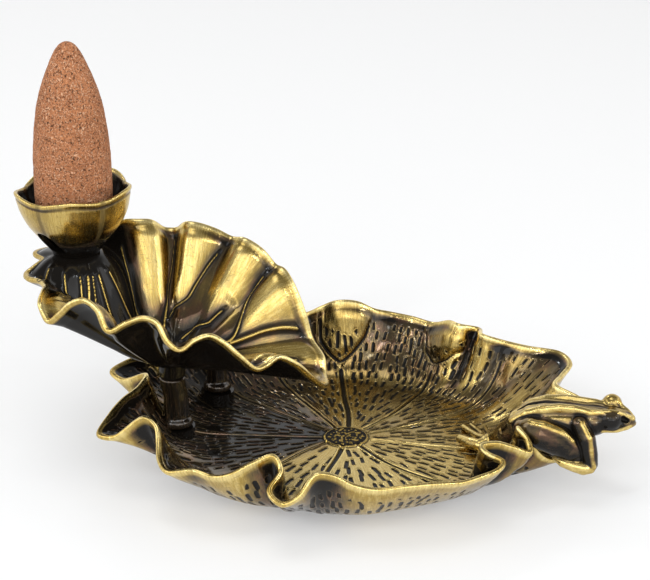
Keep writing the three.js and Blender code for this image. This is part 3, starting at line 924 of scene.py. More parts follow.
    def measured(self, middle: Array, floor_radii: Array) -> Sheet:
        """Works out a grid's normals and measures.

        Args:
            middle: Points of the sheet.
            floor_radii: Radii of its rings on the floor.

        Returns:
            The grid.
        """
        across = np.roll(middle, -1, axis=1) - np.roll(middle, 1, axis=1)
        normal = np.cross(np.gradient(middle, axis=0), across)
        normal /= np.linalg.norm(normal, axis=2, keepdims=True) + 1e-9
        normal[: len(floor_radii)] = (0.0, 0.0, 1.0)
        for _ in range(3):
            normal = ring_mean(normal, 1)
            normal /= np.linalg.norm(normal, axis=2, keepdims=True)
        steps = np.linalg.norm(np.diff(middle, axis=0), axis=2)
        first = np.full((1, self.stations), floor_radii[0])
        along = np.concatenate([first, first + np.cumsum(steps, axis=0)])
        flat = middle[:, :, :2] - np.array(self.centre)[:2]
        swell, broad = (((middle - ring_mean(middle, n)) * normal).sum(2) for n in self.swell_reach)
        return Sheet(middle, normal, along, np.arctan2(flat[..., 1], flat[..., 0]),
                     np.hypot(flat[..., 0], flat[..., 1]), swell, broad)

    def veins(self, grid: Sheet, veins: Sequence[Vein]) -> tuple[Array, Array, Array]:
        """Distance to the nearest vein.

        Args:
            grid: The sheet's grid.
            veins: The veins.

        Returns:
            Distance beyond the vein's half width, that half width, and how present the vein is.
        """
        best = np.full(grid.along.shape, FAR)
        width = np.full(grid.along.shape, 0.1)
        shown = np.zeros(grid.along.shape)
        for vein in veins:
            low, high = vein.path[0][1], vein.path[-1][1]
            s = np.clip(grid.along, low, high)
            azimuth = vein.azimuth(s)
            slope = grid.radius * (vein.azimuth(s + 0.5) - vein.azimuth(s - 0.5))
            side = turn(grid.azimuth - azimuth) * grid.radius / np.sqrt(1.0 + slope ** 2)
            past = grid.along - s
            half = vein.start + (vein.end - vein.start) * (s - low) / (high - low)
            apart = np.hypot(side, past) - half
            near = apart < best
            fade = (smoothstep(grid.along, low - 0.6, low + 0.4)
                    * smoothstep(grid.along, high + 0.8, high - 1.6))
            best, width, shown = (np.where(near, new, old) for new, old in (
                (apart, best), (half, width), (fade, shown)))
        return best, width, shown

    def build(self, grid: Sheet, coarse: Sequence[int], relief: Array, under: Sequence[int],
              under_relief: Array, top: Fields, below: Fields) -> Skin:
        """Lays both faces and the bead of the rim.

        Args:
            grid: The sheet's grid.
            coarse: For each ring of the grid, every which station it keeps.
            relief: Height of the upper face over the plain sheet.
            under: Rings that the lower face uses, from the rim inwards.
            under_relief: Height of the lower face.
            top: Fields of the upper face.
            below: Fields of the lower face.

        Returns:
            The skin.
        """
        half = self.thickness / 2
        grain = np.stack([f(grid.azimuth) * self.grain_reach for f in (np.cos, np.sin)] + [grid.along], -1)
        edge_gap = grid.edge_gap
        lip = self.bead * math.cos(math.radians(self.bead_tangent))
        lifted = half + (lip - half) * smoothstep(edge_gap, *self.bead_fade)
        depth, inset, wide = self.channel
        channel = depth * bell(edge_gap - inset, wide)
        inland = smoothstep(edge_gap, *self.relief_fade)
        upper = grid.middle + grid.normal * (lifted - channel + relief * inland)[..., None]
        lower = grid.middle - grid.normal * (lifted + under_relief * inland)[..., None]

        def pole(z: float, fields: Fields) -> Layer:
            """Single vertex at the centre."""
            place = np.array([[self.centre[0], self.centre[1], self.centre[2] + z]])
            return place, {"grain": np.zeros((1, 3)), **{k: v[0, :1] for k, v in fields.items()}}

        def ring(face: Array, r: int, fields: Fields) -> Layer:
            """Ring of one face, at the stations that it keeps."""
            pick = slice(None, None, coarse[r])
            return face[r, pick], {"grain": grain[r, pick], **{k: v[r, pick] for k, v in fields.items()}}

        up = grid.normal[-1]
        out = ring_mean((grid.middle[-1] - grid.middle[-2])[None], 2)[0]
        out -= up * (out * up).sum(1, keepdims=True)
        out /= np.linalg.norm(out, axis=1, keepdims=True)
        layers = [pole(half + relief[0].mean(), top)]
        layers += [ring(upper, r, top) for r in range(len(grid.along))]
        for angle in np.radians(self.bead_angles):
            place = grid.middle[-1] + up * self.bead * math.cos(angle) + out * self.bead * math.sin(angle)
            share = smoothstep(angle, *self.roll_under)
            layers.append((place, {"grain": grain[-1], **{
                k: top[k][-1] + (below[k][-1] - top[k][-1]) * share for k in top}}))
        layers += [ring(lower, r, below) for r in under]
        layers.append(pole(-half, below))
        skin = Skin()
        skin.stack(layers)
        return skin


def around(azimuth: Array, table: Rows) -> Array:
    """Reads a table of azimuth in degrees against value at azimuths in radians."""
    rows = np.array(table, float)
    return np.interp(np.degrees(azimuth) % 360.0, rows[:, 0], rows[:, 1], period=360.0)


@dataclass
class LowerLeaf:
    """The dish: flat floor, dashes stamped in rows, veins, seed disc and a folded rim.

    The rim's rows are azimuth, how far it lies beyond reach and above rise, and for a few how
    many degrees it leans over. The other tables are azimuth and value. The zones are the floor's
    rings: first radius, last radius and step. Pairs of dash sizes are a least and a spread.
    """

    reach: float = 38.0
    rise: float = 9.8
    rim: Rows = (
        (-5, 4.4, -0.6), (1, -0.4, 0.8), (6, 1.2, 1), (12, 4, 1.5), (18, 3.6, 1.8), (25, -0.5, 1.6),
        (32, -2.6, 1.4), (38, -5.2, 2.2), (44, -2.6, 1.6), (48, -5.6, 2.6), (53, -4.6, 2.2),
        (60, -3.8, 0.6), (67, -3.8, 1), (75, -3.4, 1.2), (80, -4.4, 2), (86, -5.3, 3.8), (93, -5.6, 4),
        (98, -4.8, 2.6), (102, -2.6, 0.6), (110, -1, 0.2), (117, -2.5, 1.6), (124, -0.6, 0),
        (131, 1.2, -0.6), (138, -0.5, 1.4), (145, 1.5, 0), (153, 3, 0), (159, 0.8, 1.4), (165, 4, 0.8),
        (170, 5.4, 0.4), (174, 2.4, 0.2), (178, -2, 2.5), (184, -1, 1.9), (190, 2, 1.4), (195, 4.6, 0.6),
        (200, 7.5, -1), (204, 5.5, -0.5), (207, 1, 3), (211, 0, 2.5), (215, 1, 0.5), (219, 2.6, -1),
        (224, 3.6, -1.5), (230, 1.8, -0.5), (235, 0.8, -1), (240, 0.6, 0.2), (245, -1.2, 2.3),
        (249, -3.1, 3.2, 0.5), (251, -2.2, 1.2, 1), (252, 1.4, -0.8, -1), (255, 3.2, -1.8),
        (258.5, 2.2, -0.6), (262, 0, 2.3), (266, -0.6, 2), (271, -0.7, 0.3), (277, -0.3, -0.5),
        (284, 0.4, 0), (291, 0.9, 0), (298, 1.1, -0.7), (304, 0.9, -0.8), (308, 1.2, -0.4, 1.5),
        (310, 0.2, 0, 2.5), (311.5, -2.5, 0.8, -0.5), (313, -4.4, 1.3, -1), (316, -3.2, 1.4),
        (319, -1.2, 0.6), (321.5, 0.8, -0.6, 1), (323, -0.4, 0.8, 1.5), (325, -2.6, 2.4),
        (328, -2.2, 0.6), (330, 0.6, -3.4), (333, 2.6, -4.4), (338, 4, -4.4), (348, 4.6, -3),
    )
    veins: tuple[Vein, ...] = (
        Vein(((83.5, 4.2), (90.4, 16.1), (91.6, 29.3)), 0.3, 0.34),
        Vein(((91.6, 29.3), (95.5, 31.7), (98.1, 34.3), (97.6, 40)), 0.3, 0.16),
        Vein(((91.6, 29.3), (87.2, 31.5), (83.1, 34.5), (81, 38.5)), 0.3, 0.14),
        Vein(((48.3, 4.6), (48.3, 12.6), (52.2, 19.9), (54.1, 26.5), (54.9, 31.5)), 0.14, 0.26),
        Vein(((54.9, 31.5), (59.1, 33.8), (61.7, 39)), 0.24, 0.14),
        Vein(((54.9, 31.5), (49.9, 33.1), (46.1, 36)), 0.24, 0.14),
        Vein(((24.5, 4.2), (21.3, 10.7), (25.5, 19.9), (28.5, 28), (29.5, 34), (31, 39)), 0.12, 0.22),
        Vein(((-10.2, 4.2), (-12.4, 14.6), (-10.9, 26)), 0.12, 0.1),
        Vein(((-53.6, 3.8), (-55.6, 10.3), (-52.9, 15.3), (-50.5, 18.8), (-45, 27)), 0.3, 0.26),
        Vein(((-99.5, 3.8), (-103.6, 11.9), (-106, 22)), 0.32, 0.26),
        Vein(((-151.5, 3.8), (-140.5, 13), (-138.4, 16.1), (-133, 28)), 0.14, 0.12),
        Vein(((179.5, 3.8), (177.7, 11.9), (177.2, 21.1), (176.1, 34)), 0.12, 0.16),
        Vein(((140.4, 4.2), (139.6, 11.1), (139, 18.8), (139.3, 26.4), (141, 38)), 0.14, 0.26),
        Vein(((115, 4.2), (117, 16), (117, 36)), 0.12, 0.22),
    )
    # Floor polish: wear with painted light, dark on the left as painted shade under the upper leaf and brightest on
    # the front floor as a painted highlight.
    floor_polish_shade_and_highlight: Rows = (
        (0, 0.66), (30, 0.6), (50, 0.64), (75, 0.72), (90, 0.74), (105, 0.6), (120, 0.36),
        (140, 0.12), (160, -0.02), (180, -0.06), (200, -0.02), (212, 0.26), (225, 0.68), (245, 0.98),
        (270, 1.12), (290, 1.02), (310, 0.86), (330, 0.84), (345, 0.8),
    )
    # Wall polish: wear with painted shade, darkest on the left wall under the upper leaf.
    wall_polish_and_shade: Rows = (
        (0, 0.6), (15, 0.55), (25, 0.48), (40, 0.44), (55, 0.42), (65, 0.38), (75, 0.36),
        (90, 0.5), (100, 0.34), (120, 0.2), (150, 0.16), (180, 0.16), (200, 0.22), (212, 0.36),
        (225, 0.46), (240, 0.3), (250, 0.2), (258, 0.5), (264, 0.2), (290, 0.2), (310, 0.24),
        (325, 0.34), (345, 0.48),
    )
    # Outer polish: wear with painted shade, low on the left under the upper leaf and lowest below the frog near 335
    # degrees.
    outer_polish_and_shade: Rows = (
        (0, 0.5), (40, 0.48), (90, 0.5), (140, 0.45), (180, 0.3), (200, 0.28), (212, 0.22),
        (225, 0.46), (236, 0.66), (245, 0.32), (252, 0.14), (259, 0.16), (266, 0.36), (275, 0.62),
        (290, 0.68), (305, 0.5), (316, 0.12), (335, -0.05), (350, 0.2),
    )
    forks: tuple[tuple[int, int], ...] = ((1, 2), (4, 5))
    front_share: Rows = ((200, 0), (245, 1), (295, 1), (330, 0))
    right_share: Rows = ((-50, 0), (-20, 1), (35, 1), (48, 0))
    back_calm: Rows = ((42, 0), (56, 1), (122, 1), (136, 0))
    zones: Rows = ((0.15, 4.8, 0.15), (4.8, 11.0, 0.28), (11.0, 22.9, 0.35))
    wall_rings: int = 56
    dash_depth: float = 0.22
    dash_pitch: float = 2.65
    dash_front_pitch: float = 0.75
    dash_row: float = 2.6
    dash_gap: Pair = (1.42, 0.2)
    dash_length: Pair = (0.25, 0.13)
    dash_half: Pair = (0.24, 0.07)
    dash_tilt: float = 0.3
    dash_loose: float = 0.5
    dash_share: float = 0.95
    groove_depth: float = 0.36
    flute_height: float = 0.85
    seed_radius: float = 4.0
    seeds: int = 78
    golden_angle: float = 2.39996

    def form(self) -> Leaf:
        """Works out the leaf's sheet.

        Returns:
            The sheet.
        """
        rows = tuple((a, self.reach + out, self.rise + up, *lean) for a, out, up, *lean in self.rim)
        return Leaf(centre=(0.0, 0.0, 1.75), floor=23.0, curve=2.5, fold=2.2, lift=3.5, flare=2.0,
                    rim=rows, stations=880)

    def dashes(self, grid: Sheet, seed: float, low: float, stretch: float) -> Array:
        """Distance to the edge of the nearest stamped dash, negative inside.

        Args:
            grid: The sheet's grid.
            seed: Number that makes the rows of one face differ from the other's.
            low: Distance along the sheet of the first row.
            stretch: Factor on the dashes' length.

        Returns:
            The distance in millimetres.
        """
        front, right = (around(grid.azimuth, table) for table in (self.front_share, self.right_share))
        wall = smoothstep(grid.along, 20.0, 27.0)
        pitch = self.dash_pitch + self.dash_front_pitch * front
        pitch = pitch * (1.0 - 0.22 * wall * (1.0 - right)) * stretch
        pitch = pitch * (1.0 + 0.9 * self.flutes(grid))
        place = np.cumsum(np.gradient(grid.along, axis=0) / pitch, axis=0)
        first = [np.interp(low, along, gone) for along, gone in zip(grid.along.T, place.T)]
        place = place - np.array(first)
        best = np.full(grid.along.shape, FAR)
        loose = self.dash_loose - 0.18 * wall
        for row in (np.floor(place) + step for step in (-1, 0, 1)):
            nominal = low + (row + 0.5) * self.dash_row * stretch
            gap = self.dash_gap[0] + self.dash_gap[1] * smoothstep(nominal, 22.0, 32.0)
            cells = np.maximum(8.0, np.round(2 * np.pi * np.clip(nominal, 4.0, 36.0) / gap))
            width = 2 * np.pi * np.maximum(grid.radius, 3.0) / cells
            widest = (0.28 - 0.07 * wall) * width
            turned = np.mod(grid.azimuth / (2 * np.pi), 1.0) * cells
            turned = turned + (jitter(row, seed) + 0.5 * (row % 2))
            for cell in (np.floor(turned) + step for step in (-1, 0, 1)):
                key = np.mod(cell, cells)
                r1, r2, r3, r4 = (jitter(key, row, seed + k) for k in range(4))
                dx = (turned - cell - 0.5 - (r1 - 0.5) * loose) * width
                dy = (place - row - 0.5 - (r2 - 0.5) * loose) * pitch
                length = (self.dash_length[0] + self.dash_length[1] * r3) * pitch
                tilt = (r4 - 0.5) * self.dash_tilt
                dx, dy = dx - dy * tilt, dy + dx * tilt
                half = self.dash_half[0] + self.dash_half[1] * r3 + 0.05 * front - 0.08 * wall * right
                half = np.minimum(half, widest)
                apart = np.hypot(dx, np.maximum(np.abs(dy) - length, 0.0)) - half
                shown = (row >= 0) & (jitter(key, row, seed + 9.0) < self.dash_share - 0.12 * wall)
                best = np.where(shown, np.minimum(best, apart), best)
        return best

    def flutes(self, grid: Sheet) -> Array:
        """Bulge of the wall inside each forked vein.

        Args:
            grid: The sheet's grid.

        Returns:
            The bulge, from 0 to 1.
        """
        total = np.zeros(grid.along.shape)
        for left, right in self.forks:
            low = self.veins[left].path[0][1]
            s = np.clip(grid.along, low, 60.0)
            a, b = self.veins[left].azimuth(s), self.veins[right].azimuth(s)
            share = turn(grid.azimuth - b) / np.where(np.abs(a - b) < 0.02, 0.02, a - b)
            inside = np.clip(4.0 * share * (1.0 - share), 0.0, 1.0)
            total = np.maximum(total, np.sqrt(inside) * smoothstep(grid.along, low + 0.3, low + 4.0))
        return total

    def seed_relief(self, grid: Sheet) -> tuple[Array, Array]:
        """Pebbled seed disc with a raised border.

        Args:
            grid: The sheet's grid.

        Returns:
            Its height, and how deep a point lies inside a pebble or the border.
        """
        x, y = grid.middle[..., 0], grid.middle[..., 1]
        r = np.hypot(x, y)
        disc = smoothstep(r, self.seed_radius + 0.05, self.seed_radius - 0.25)
        inside = np.full(x.shape, -FAR)
        for k in range(self.seeds):
            rho = (self.seed_radius - 0.75) * math.sqrt((k + 0.5) / self.seeds)
            phi = k * self.golden_angle + 0.5 * math.sin(k * 1.7)
            wide = 0.21 + 0.06 * math.sin(k * 2.3)
            inside = np.maximum(inside, wide - np.hypot(x - rho * math.cos(phi), y - rho * math.sin(phi)))
        bump = np.clip(inside / 0.2, 0.0, 1.0)
        band = 0.17 - np.abs(r - self.seed_radius + 0.1)
        height = (0.22 * disc + 0.18 * np.sqrt(bump) * disc + 0.12 * smoothstep(band, -0.05, 0.12)
                  - 0.12 * bell(r - self.seed_radius + 0.5, 0.2))
        return height, np.maximum(np.where(r < self.seed_radius, inside, -FAR), band)

    def dress(self, finish: Material) -> Sheet:
        """Builds the dish.

        Args:
            finish: Its material.

        Returns:
            The grid of its sheet.
        """
        form = self.form()
        radii = np.concatenate([np.arange(*zone) for zone in self.zones])
        inner, mid = (int((radii < zone[1]).sum()) for zone in self.zones[:2])
        grid = form.sheet(radii, np.linspace(0.0, 1.0, self.wall_rings),
                          lambda plain: self.flute_height * self.flutes(plain)
                          * smoothstep(plain.edge_gap, -0.5, 3.0))
        total, edge_gap, flute = len(grid.along), grid.edge_gap, self.flutes(grid)
        apart, half, shown = form.veins(grid, self.veins)
        groove = bell(apart + half, half + 0.08, 4) * shown
        banks = bell(apart - 0.3, 0.17) * shown
        keep = np.clip(smoothstep(apart, 0.3, 0.55) + (1.0 - shown), 0.0, 1.0)
        keep = keep * smoothstep(edge_gap, 1.3 + 3.2 * flute, 2.1 + 3.6 * flute)
        keep = keep * smoothstep(grid.along, self.seed_radius + 0.2, self.seed_radius + 0.7)
        dash = self.dashes(grid, 3.0, 4.9, 1.0) + 1.2 * (1.0 - keep)
        seed_height, seed_depth = self.seed_relief(grid)
        relief = (seed_height - self.dash_depth * smoothstep(dash, 0.1, -0.1)
                  - self.groove_depth * groove + 0.14 * banks)
        ridge, on_wall = grid.ridge(0.22, 0.9), smoothstep(grid.along, 21.0, 31.0)
        # Painted light: tone takes the polish tables' wear together with their painted shade and painted highlight.
        tone = (around(grid.azimuth, self.floor_polish_shade_and_highlight) * (1 - on_wall)
                + around(grid.azimuth, self.wall_polish_and_shade) * on_wall)
        calm = around(grid.azimuth, self.back_calm)
        tone = tone + (0.5 - 0.3 * calm) * ridge * on_wall + 0.02 * flute
        near_rim = smoothstep(edge_gap, 0.65, 0.2)
        shade = bell(edge_gap - 1.3, 0.45) * (0.4 - 0.25 * calm)
        disc = smoothstep(grid.along, self.seed_radius + 0.1, self.seed_radius - 0.1)
        vein = apart - 0.03 + 2.0 * (1.0 - shown)
        top = {
            "polish_and_painted_light": (tone - shade) * (1 - disc) + 0.5 * near_rim,
            "edge": np.maximum(0.8 * near_rim, 0.9 * banks * (0.28 + tone)),
            "ink": disc * 0.9,
            "mark": depth_field(-np.minimum(dash, vein)),
            "line": depth_field(seed_depth),
        }
        under_dash = self.dashes(grid, 11.0, 18.0, 1.15) + 1.2 * smoothstep(edge_gap, 3.4, 2.2)
        below = {
            "polish_and_painted_light": around(grid.azimuth, self.outer_polish_and_shade) - 0.45 * ridge * on_wall + 0.4 * near_rim,
            "edge": 0.75 * near_rim,
            "ink": groove * 0.6,
            "mark": depth_field(-under_dash),
            "line": np.zeros(ridge.shape),
        }
        skin = form.build(
            grid, [4] * inner + [2] * (mid - inner) + [1] * (total - mid), relief,
            [*range(total - 1, len(radii), -2), *range(len(radii), mid, -10), mid - 1, inner - 1, 6],
            -0.14 * smoothstep(under_dash, 0.1, -0.1) - 0.15 * groove, top, below)
        fit_out(skin.piece("lotus_leaf_dish_cast", finish), BODY, Slot.BRONZE, "lotus_leaf_dish")
        return grid


@dataclass
class UpperLeaf:
    """The tilted leaf: bulging panels between thin raised veins, pleated below the cup.

    The rim's rows are azimuth, reach and rise. The pleats' are azimuth, half width and half
    width of the line on the crest, with -FAR for none.
    """

    cup: Pair = CUP_AXIS
    rim: Rows = (
        (-7, 26.8, -3.4), (1, 27.4, -4.6), (9, 27.3, -4.4), (13, 27.4, -2.2), (20, 26.2, 0.2),
        (24, 25.4, 5), (30, 24.3, 10.1), (35, 23.8, 12), (39, 23.2, 12.4), (44, 21.6, 15.3),
        (51, 20, 17.1), (60, 20, 16.8), (68, 18.8, 18.3), (78, 17.2, 19.7), (84, 17.2, 19.7),
        (90, 18.8, 18), (97, 19, 18), (105, 18, 20), (112, 18.2, 20.3), (121, 20, 20), (131, 24, 16.5),
        (139, 26, 14.6), (147, 28.6, 15), (153, 28.6, 15.2), (158, 25.4, 14.4), (162, 26, 14.1),
        (167, 26.8, 14.1), (172, 25.8, 14.3), (178, 23, 14.8), (185, 21.8, 14.8), (194, 22.2, 15.4),
        (204, 23.6, 14.6), (210, 23.1, 12.4), (215, 21.8, 14.2), (219, 20.6, 16.1), (226, 19.3, 17.2),
        (232, 18.5, 15.8), (239, 18.4, 12.4), (248, 16.9, 13.8), (257, 15.8, 14.6), (265, 15.8, 14),
        (272, 16.8, 10.8), (279, 17, 9.3), (288, 16.3, 10.5), (297, 16.6, 11.1), (304, 17.7, 9.8),
        (311, 19.4, 7.1), (318, 20.6, 4.5), (324, 21, 4.5), (331, 21.9, 5.3), (337, 24, 3.5),
        (344, 25.6, 0),
    )
    veins: tuple[Vein, ...] = (
        Vein(((131, 2), (128.8, 12.1), (124.8, 19.9), (122.2, 26)), 0.13, 0.1),
        Vein(((118, 2), (107.2, 7.9), (92.8, 18.6), (88.7, 26)), 0.14, 0.1),
        Vein(((102.3, 9), (76, 12.7), (69.4, 17.8), (66.3, 20.7), (62.3, 24.3)), 0.13, 0.1),
        Vein(((74.4, 4.8), (46.5, 9.9), (43, 14.9)), 0.13, 0.09),
        Vein(((31, 3), (23.9, 11), (35, 17), (39.3, 21), (39.9, 25)), 0.13, 0.1),
        Vein(((23.9, 10.6), (23.9, 17.4), (23.2, 21.2), (22, 25.3)), 0.13, 0.09),
        Vein(((4, 3), (10.5, 12.5), (12.2, 16.7), (11.5, 24))),
        Vein(((-18, 3), (-16, 12), (-16, 22))),
        Vein(((-52, 3), (-48, 10), (-46, 18))),
        Vein(((-84, 3), (-88, 9), (-88, 16))),
        Vein(((-118, 3), (-124, 9), (-125, 18))),
        Vein(((-152, 3), (-160, 12), (-160, 21))),
        Vein(((170, 3), (176, 12), (178, 23))),
    )
    pleats: Rows = ((240, 0.4, 0.15), (255, 0.34, 0.15), (269, 0.46, 0.15), (282, 0.36, 0.19),
                    (294, 0.46, -FAR), (306, 0.36, 0.15), (319, 0.44, 0.15), (333, 0.36, 0.15))
    tone: Rows = (
        (0, 0.66), (15, 0.66), (30, 0.56), (50, 0.5), (75, 0.56), (95, 0.62), (112, 0.6),
        (128, 0.34), (140, 0.2), (155, 0.24), (170, 0.3), (190, 0.42), (205, 0.6), (215, 0.46),
        (235, 0.3), (260, 0.28), (290, 0.34), (320, 0.5), (345, 0.66),
    )

    floor_radii: Pair = (0.5, 1.0)
    wall_rings: int = 104
    pillow_height: float = 0.6
    vein_height: float = 0.26
    pleat_height: float = 0.4

    def form(self) -> Leaf:
        """The leaf's sheet."""
        return Leaf(centre=(-31.0, 0.0, 17.6), floor=1.5, curve=1.3, fold=1.35, lift=1.35, flare=1.0,
                    rim=self.rim, stations=560, mound=(*self.cup, CUP_BASE - 0.3 - 0.65, 3.8, 11.0))

    def pleat_crests(self, grid: Sheet) -> tuple[Array, Array]:
        """Gathered pleats that fan out from under the cup.

        Args:
            grid: The sheet's grid.

        Returns:
            Their height from 0 to 1, and how deep a point lies inside a crest line.
        """
        x, y = grid.middle[..., 0] - self.cup[0], grid.middle[..., 1] - self.cup[1]
        r, phi = np.hypot(x, y), np.arctan2(y, x)
        total, depth = np.zeros(r.shape), np.full(r.shape, -FAR)
        shown = smoothstep(r, 5.4, 6.6) * smoothstep(r, 20.0, 15.0)
        for azimuth, wide, line in self.pleats:
            bend = np.radians(azimuth) + 0.2 * np.sin(r * 0.2 + azimuth * 0.07)
            side = np.abs(turn(phi - bend)) * r
            total = np.maximum(total, bell(side, wide))
            depth = np.maximum(depth, line - side)
        return total * shown, depth - 2.0 * (1.0 - shown)

    def pillow(self, grid: Sheet) -> Array:
        """Swell of the panels between the veins.

        Args:
            grid: The sheet's grid.

        Returns:
            The swell in millimetres.
        """
        apart, half, _ = self.form().veins(grid, self.veins)
        panel = 1.0 - bell(apart + half, 1.9)
        return (self.pillow_height * panel * smoothstep(grid.share, 0.12, 0.5)
                * smoothstep(grid.edge_gap, -0.3, 3.0))

    def dress(self, finish: Material) -> Sheet:
        """Builds the leaf.

        Args:
            finish: Its material.

        Returns:
            The grid of its sheet.
        """
        form = self.form()
        radii = np.array(self.floor_radii)
        grid = form.sheet(radii, np.linspace(0.0, 1.0, self.wall_rings) ** 0.92, self.pillow)
        total, edge_gap, share = len(grid.along), grid.edge_gap, grid.share
        apart, half, shown = form.veins(grid, self.veins)
        core = apart + half
        crest = bell(core, half + 0.08) * shown
        pleat, pleat_depth = self.pleat_crests(grid)
        ridge = grid.ridge(0.25, 1.0)
        near_rim = smoothstep(edge_gap, 0.62, 0.18)
        cup_gap = np.hypot(grid.middle[..., 0] - self.cup[0], grid.middle[..., 1] - self.cup[1])
        # Painted shadow of the cup: shade is 0 within 7 mm of the cup's axis and 1 beyond 14 mm, so the leaf's polish
        # falls to black towards the cup.
        shade = smoothstep(cup_gap, 7.0, 14.0)
        tone = (around(grid.azimuth, self.tone) * (0.3 + 0.9 * smoothstep(share, 0.26, 0.68))
                + 0.34 * ridge * smoothstep(share, 0.2, 0.5))
        tone = tone - 0.36 * bell(core, 0.7) * shown - 0.25 * bell(edge_gap - 1.4, 0.6)
        tone = tone * shade - 0.25 * (1 - shade)
        nothing = np.zeros(tone.shape)
        top = {
            "polish_and_painted_light": tone + 0.4 * near_rim,
            "edge": np.maximum(0.8 * near_rim, 0.1 * pleat * shade),
            "ink": nothing,
            "line": depth_field(np.maximum(0.01 - apart - 2.0 * (1.0 - shown), pleat_depth)),
            "mark": nothing,
        }
        below = {
            "polish_and_painted_light": -0.1 + 0.1 * np.clip(-ridge, 0, 1) + 0.4 * near_rim,
            "edge": np.maximum(0.75 * near_rim, 0.12 * crest),
            "ink": nothing,
            "line": nothing,
            "mark": nothing,
        }
        skin = form.build(grid, [1] * total, self.vein_height * crest + self.pleat_height * pleat,
                          [*range(total - 1, len(radii) + 1, -2), 1], 0.12 * crest, top, below)
        fit_out(skin.piece("upper_lotus_leaf_cast", finish), BODY, Slot.BRONZE, "upper_lotus_leaf")
        return grid


# Turned pieces.


def turned_skin(rows: Rows, axis: Callable[[float], Pair], stations: int, step: float) -> Skin:
    """Skin of a profile turned round a bent axis.

    Args:
        rows: Profile as radius and height, from the lower pole to the upper one.
        axis: Gives the axis's x and y at a height.
        stations: Vertices in each ring.
        step: Greatest distance between rings.

    Returns:
        The skin, with the fields edge and grain.
    """
    profile = np.array(rows, float)
    pieces = [profile[:1]]
    for a, b in zip(profile, profile[1:]):
        n = max(1, math.ceil(np.linalg.norm(b - a) / step))
        pieces.append(a + (b - a) * (np.arange(1, n + 1) / n)[:, None])
    dense = np.concatenate(pieces)
    for _ in range(2):
        dense[1:-1] = dense[1:-1] * 0.5 + (dense[:-2] + dense[2:]) * 0.25
    layers: list[Layer] = []
    end = len(dense) - 1
    for i, (r, z) in enumerate(dense):
        x, y = axis(z)
        ring = ring_at(x, y, circle(stations if 0 < i < end else 1), r, z)
        hollow = dense[min(i + 2, end)] + dense[max(i - 2, 0)] - 2 * dense[i]
        grain = np.stack([(ring[:, 0] - x) * 3, (ring[:, 1] - y) * 3, ring[:, 2]], 1)
        layers.append((ring, {"edge": float(np.clip(-hollow[0] * 2.5, 0.0, 1.0)), "grain": grain}))
    skin = Skin()
    skin.stack(layers, upward=True)
    return skin


@dataclass
class Stem:
    """Leaning stem with a flared collar on its foot."""

    name: str
    x: float
    y: float
    lean: Pair
    radius: float
    base: float
    top: float
    bore: float = 5.0
    collar: float = 0.7
    collar_height: float = 1.6
    pin: float = 1.2
    pin_length: float = 1.75

    def axis(self, z: float) -> Pair:
        """The stem's middle; it leans above its bore.

        Args:
            z: Height.

        Returns:
            The middle's x and y.
        """
        rise = self.top - self.base
        bend = float(smoothstep((z - self.base) / rise, self.bore / rise, 1.0))
        return self.x + self.lean[0] * bend, self.y + self.lean[1] * bend

    def dress(self, finish: Material) -> None:
        """Builds the stem.

        Args:
            finish: Its material.
        """
        r, c, b, t, up = self.radius, self.radius + self.collar, self.base, self.top, self.collar_height
        rows = ((0, b), (c - 0.2, b), (c, b + 0.2), (c, b + up * 0.62), (c - 0.25, b + up * 0.85),
                (r + 0.12, b + up), (r, b + up * 1.5), (r - 0.05, (b + t) / 2), (r, t - 0.8), (r, t),
                (self.pin, t), (self.pin, t + self.pin_length - 0.3), (0, t + self.pin_length))
        skin = turned_skin(rows, self.axis, 72, 0.25)
        fit_out(skin.piece(self.name + "_cast", finish, 50.0), BODY, Slot.DARK, self.name)


@dataclass
class Boss:
    """Cast boss under a leaf, with a hole from below; its top never stands lower than the leaf."""

    name: str
    node: str
    x: float
    y: float
    radius: float
    low: float
    hole: Rows
    top: float = 0.0
    bevel: float = 0.25
    # Dark polish: painted shade, as the bosses sit under the leaves and the frog.
    polish_and_painted_light: float = -0.1
    stations: int = 64

    def dress(self, finish: Material, roof: Sheet) -> None:
        """Builds the boss.

        Args:
            finish: Its material.
            roof: The leaf that it grows out of.
        """
        azimuth, start = circle(self.stations), self.low + self.bevel
        eaves = self.over(azimuth, self.radius, roof)
        rows = [*self.hole, (self.radius - self.bevel, self.low)]
        rows += [(self.radius, start + (eaves - start) * share) for share in np.linspace(0.0, 1.0, 12)]
        rows += [(r, self.over(azimuth, r, roof)) for r in (self.radius * 0.9, self.radius * 0.5)]
        rows.append((0, self.over(azimuth[:1], 0.0, roof)))
        layers: list[Layer] = []
        for r, z in rows:
            ring = ring_at(self.x, self.y, azimuth if r else azimuth[:1], r, z)
            layers.append((ring, {"polish_and_painted_light": self.polish_and_painted_light, "grain": np.zeros((len(ring), 3))}))
        skin = Skin()
        skin.stack(layers, upward=True)
        fit_out(skin.piece(self.name, finish, 45.0), BODY, Slot.BRONZE, self.node)

    def over(self, azimuth: Array, r: float, roof: Sheet) -> Array:
        """Height of the top at points of a circle about the boss.

        Args:
            azimuth: Azimuths of the points.
            r: Radius of the circle.
            roof: The leaf that it grows out of.

        Returns:
            The heights.
        """
        x, y = self.x + np.cos(azimuth) * r, self.y + np.sin(azimuth) * r
        near = np.hypot(roof.middle[..., 0] - self.x, roof.middle[..., 1] - self.y) < self.radius + 1.5
        spots = roof.middle[near]
        away = np.hypot(spots[:, 0][None] - x[:, None], spots[:, 1][None] - y[:, None])
        weight = 1.0 / (away ** 4 + 1e-4)
        return np.maximum((weight * spots[:, 2][None]).sum(1) / weight.sum(1), self.top)


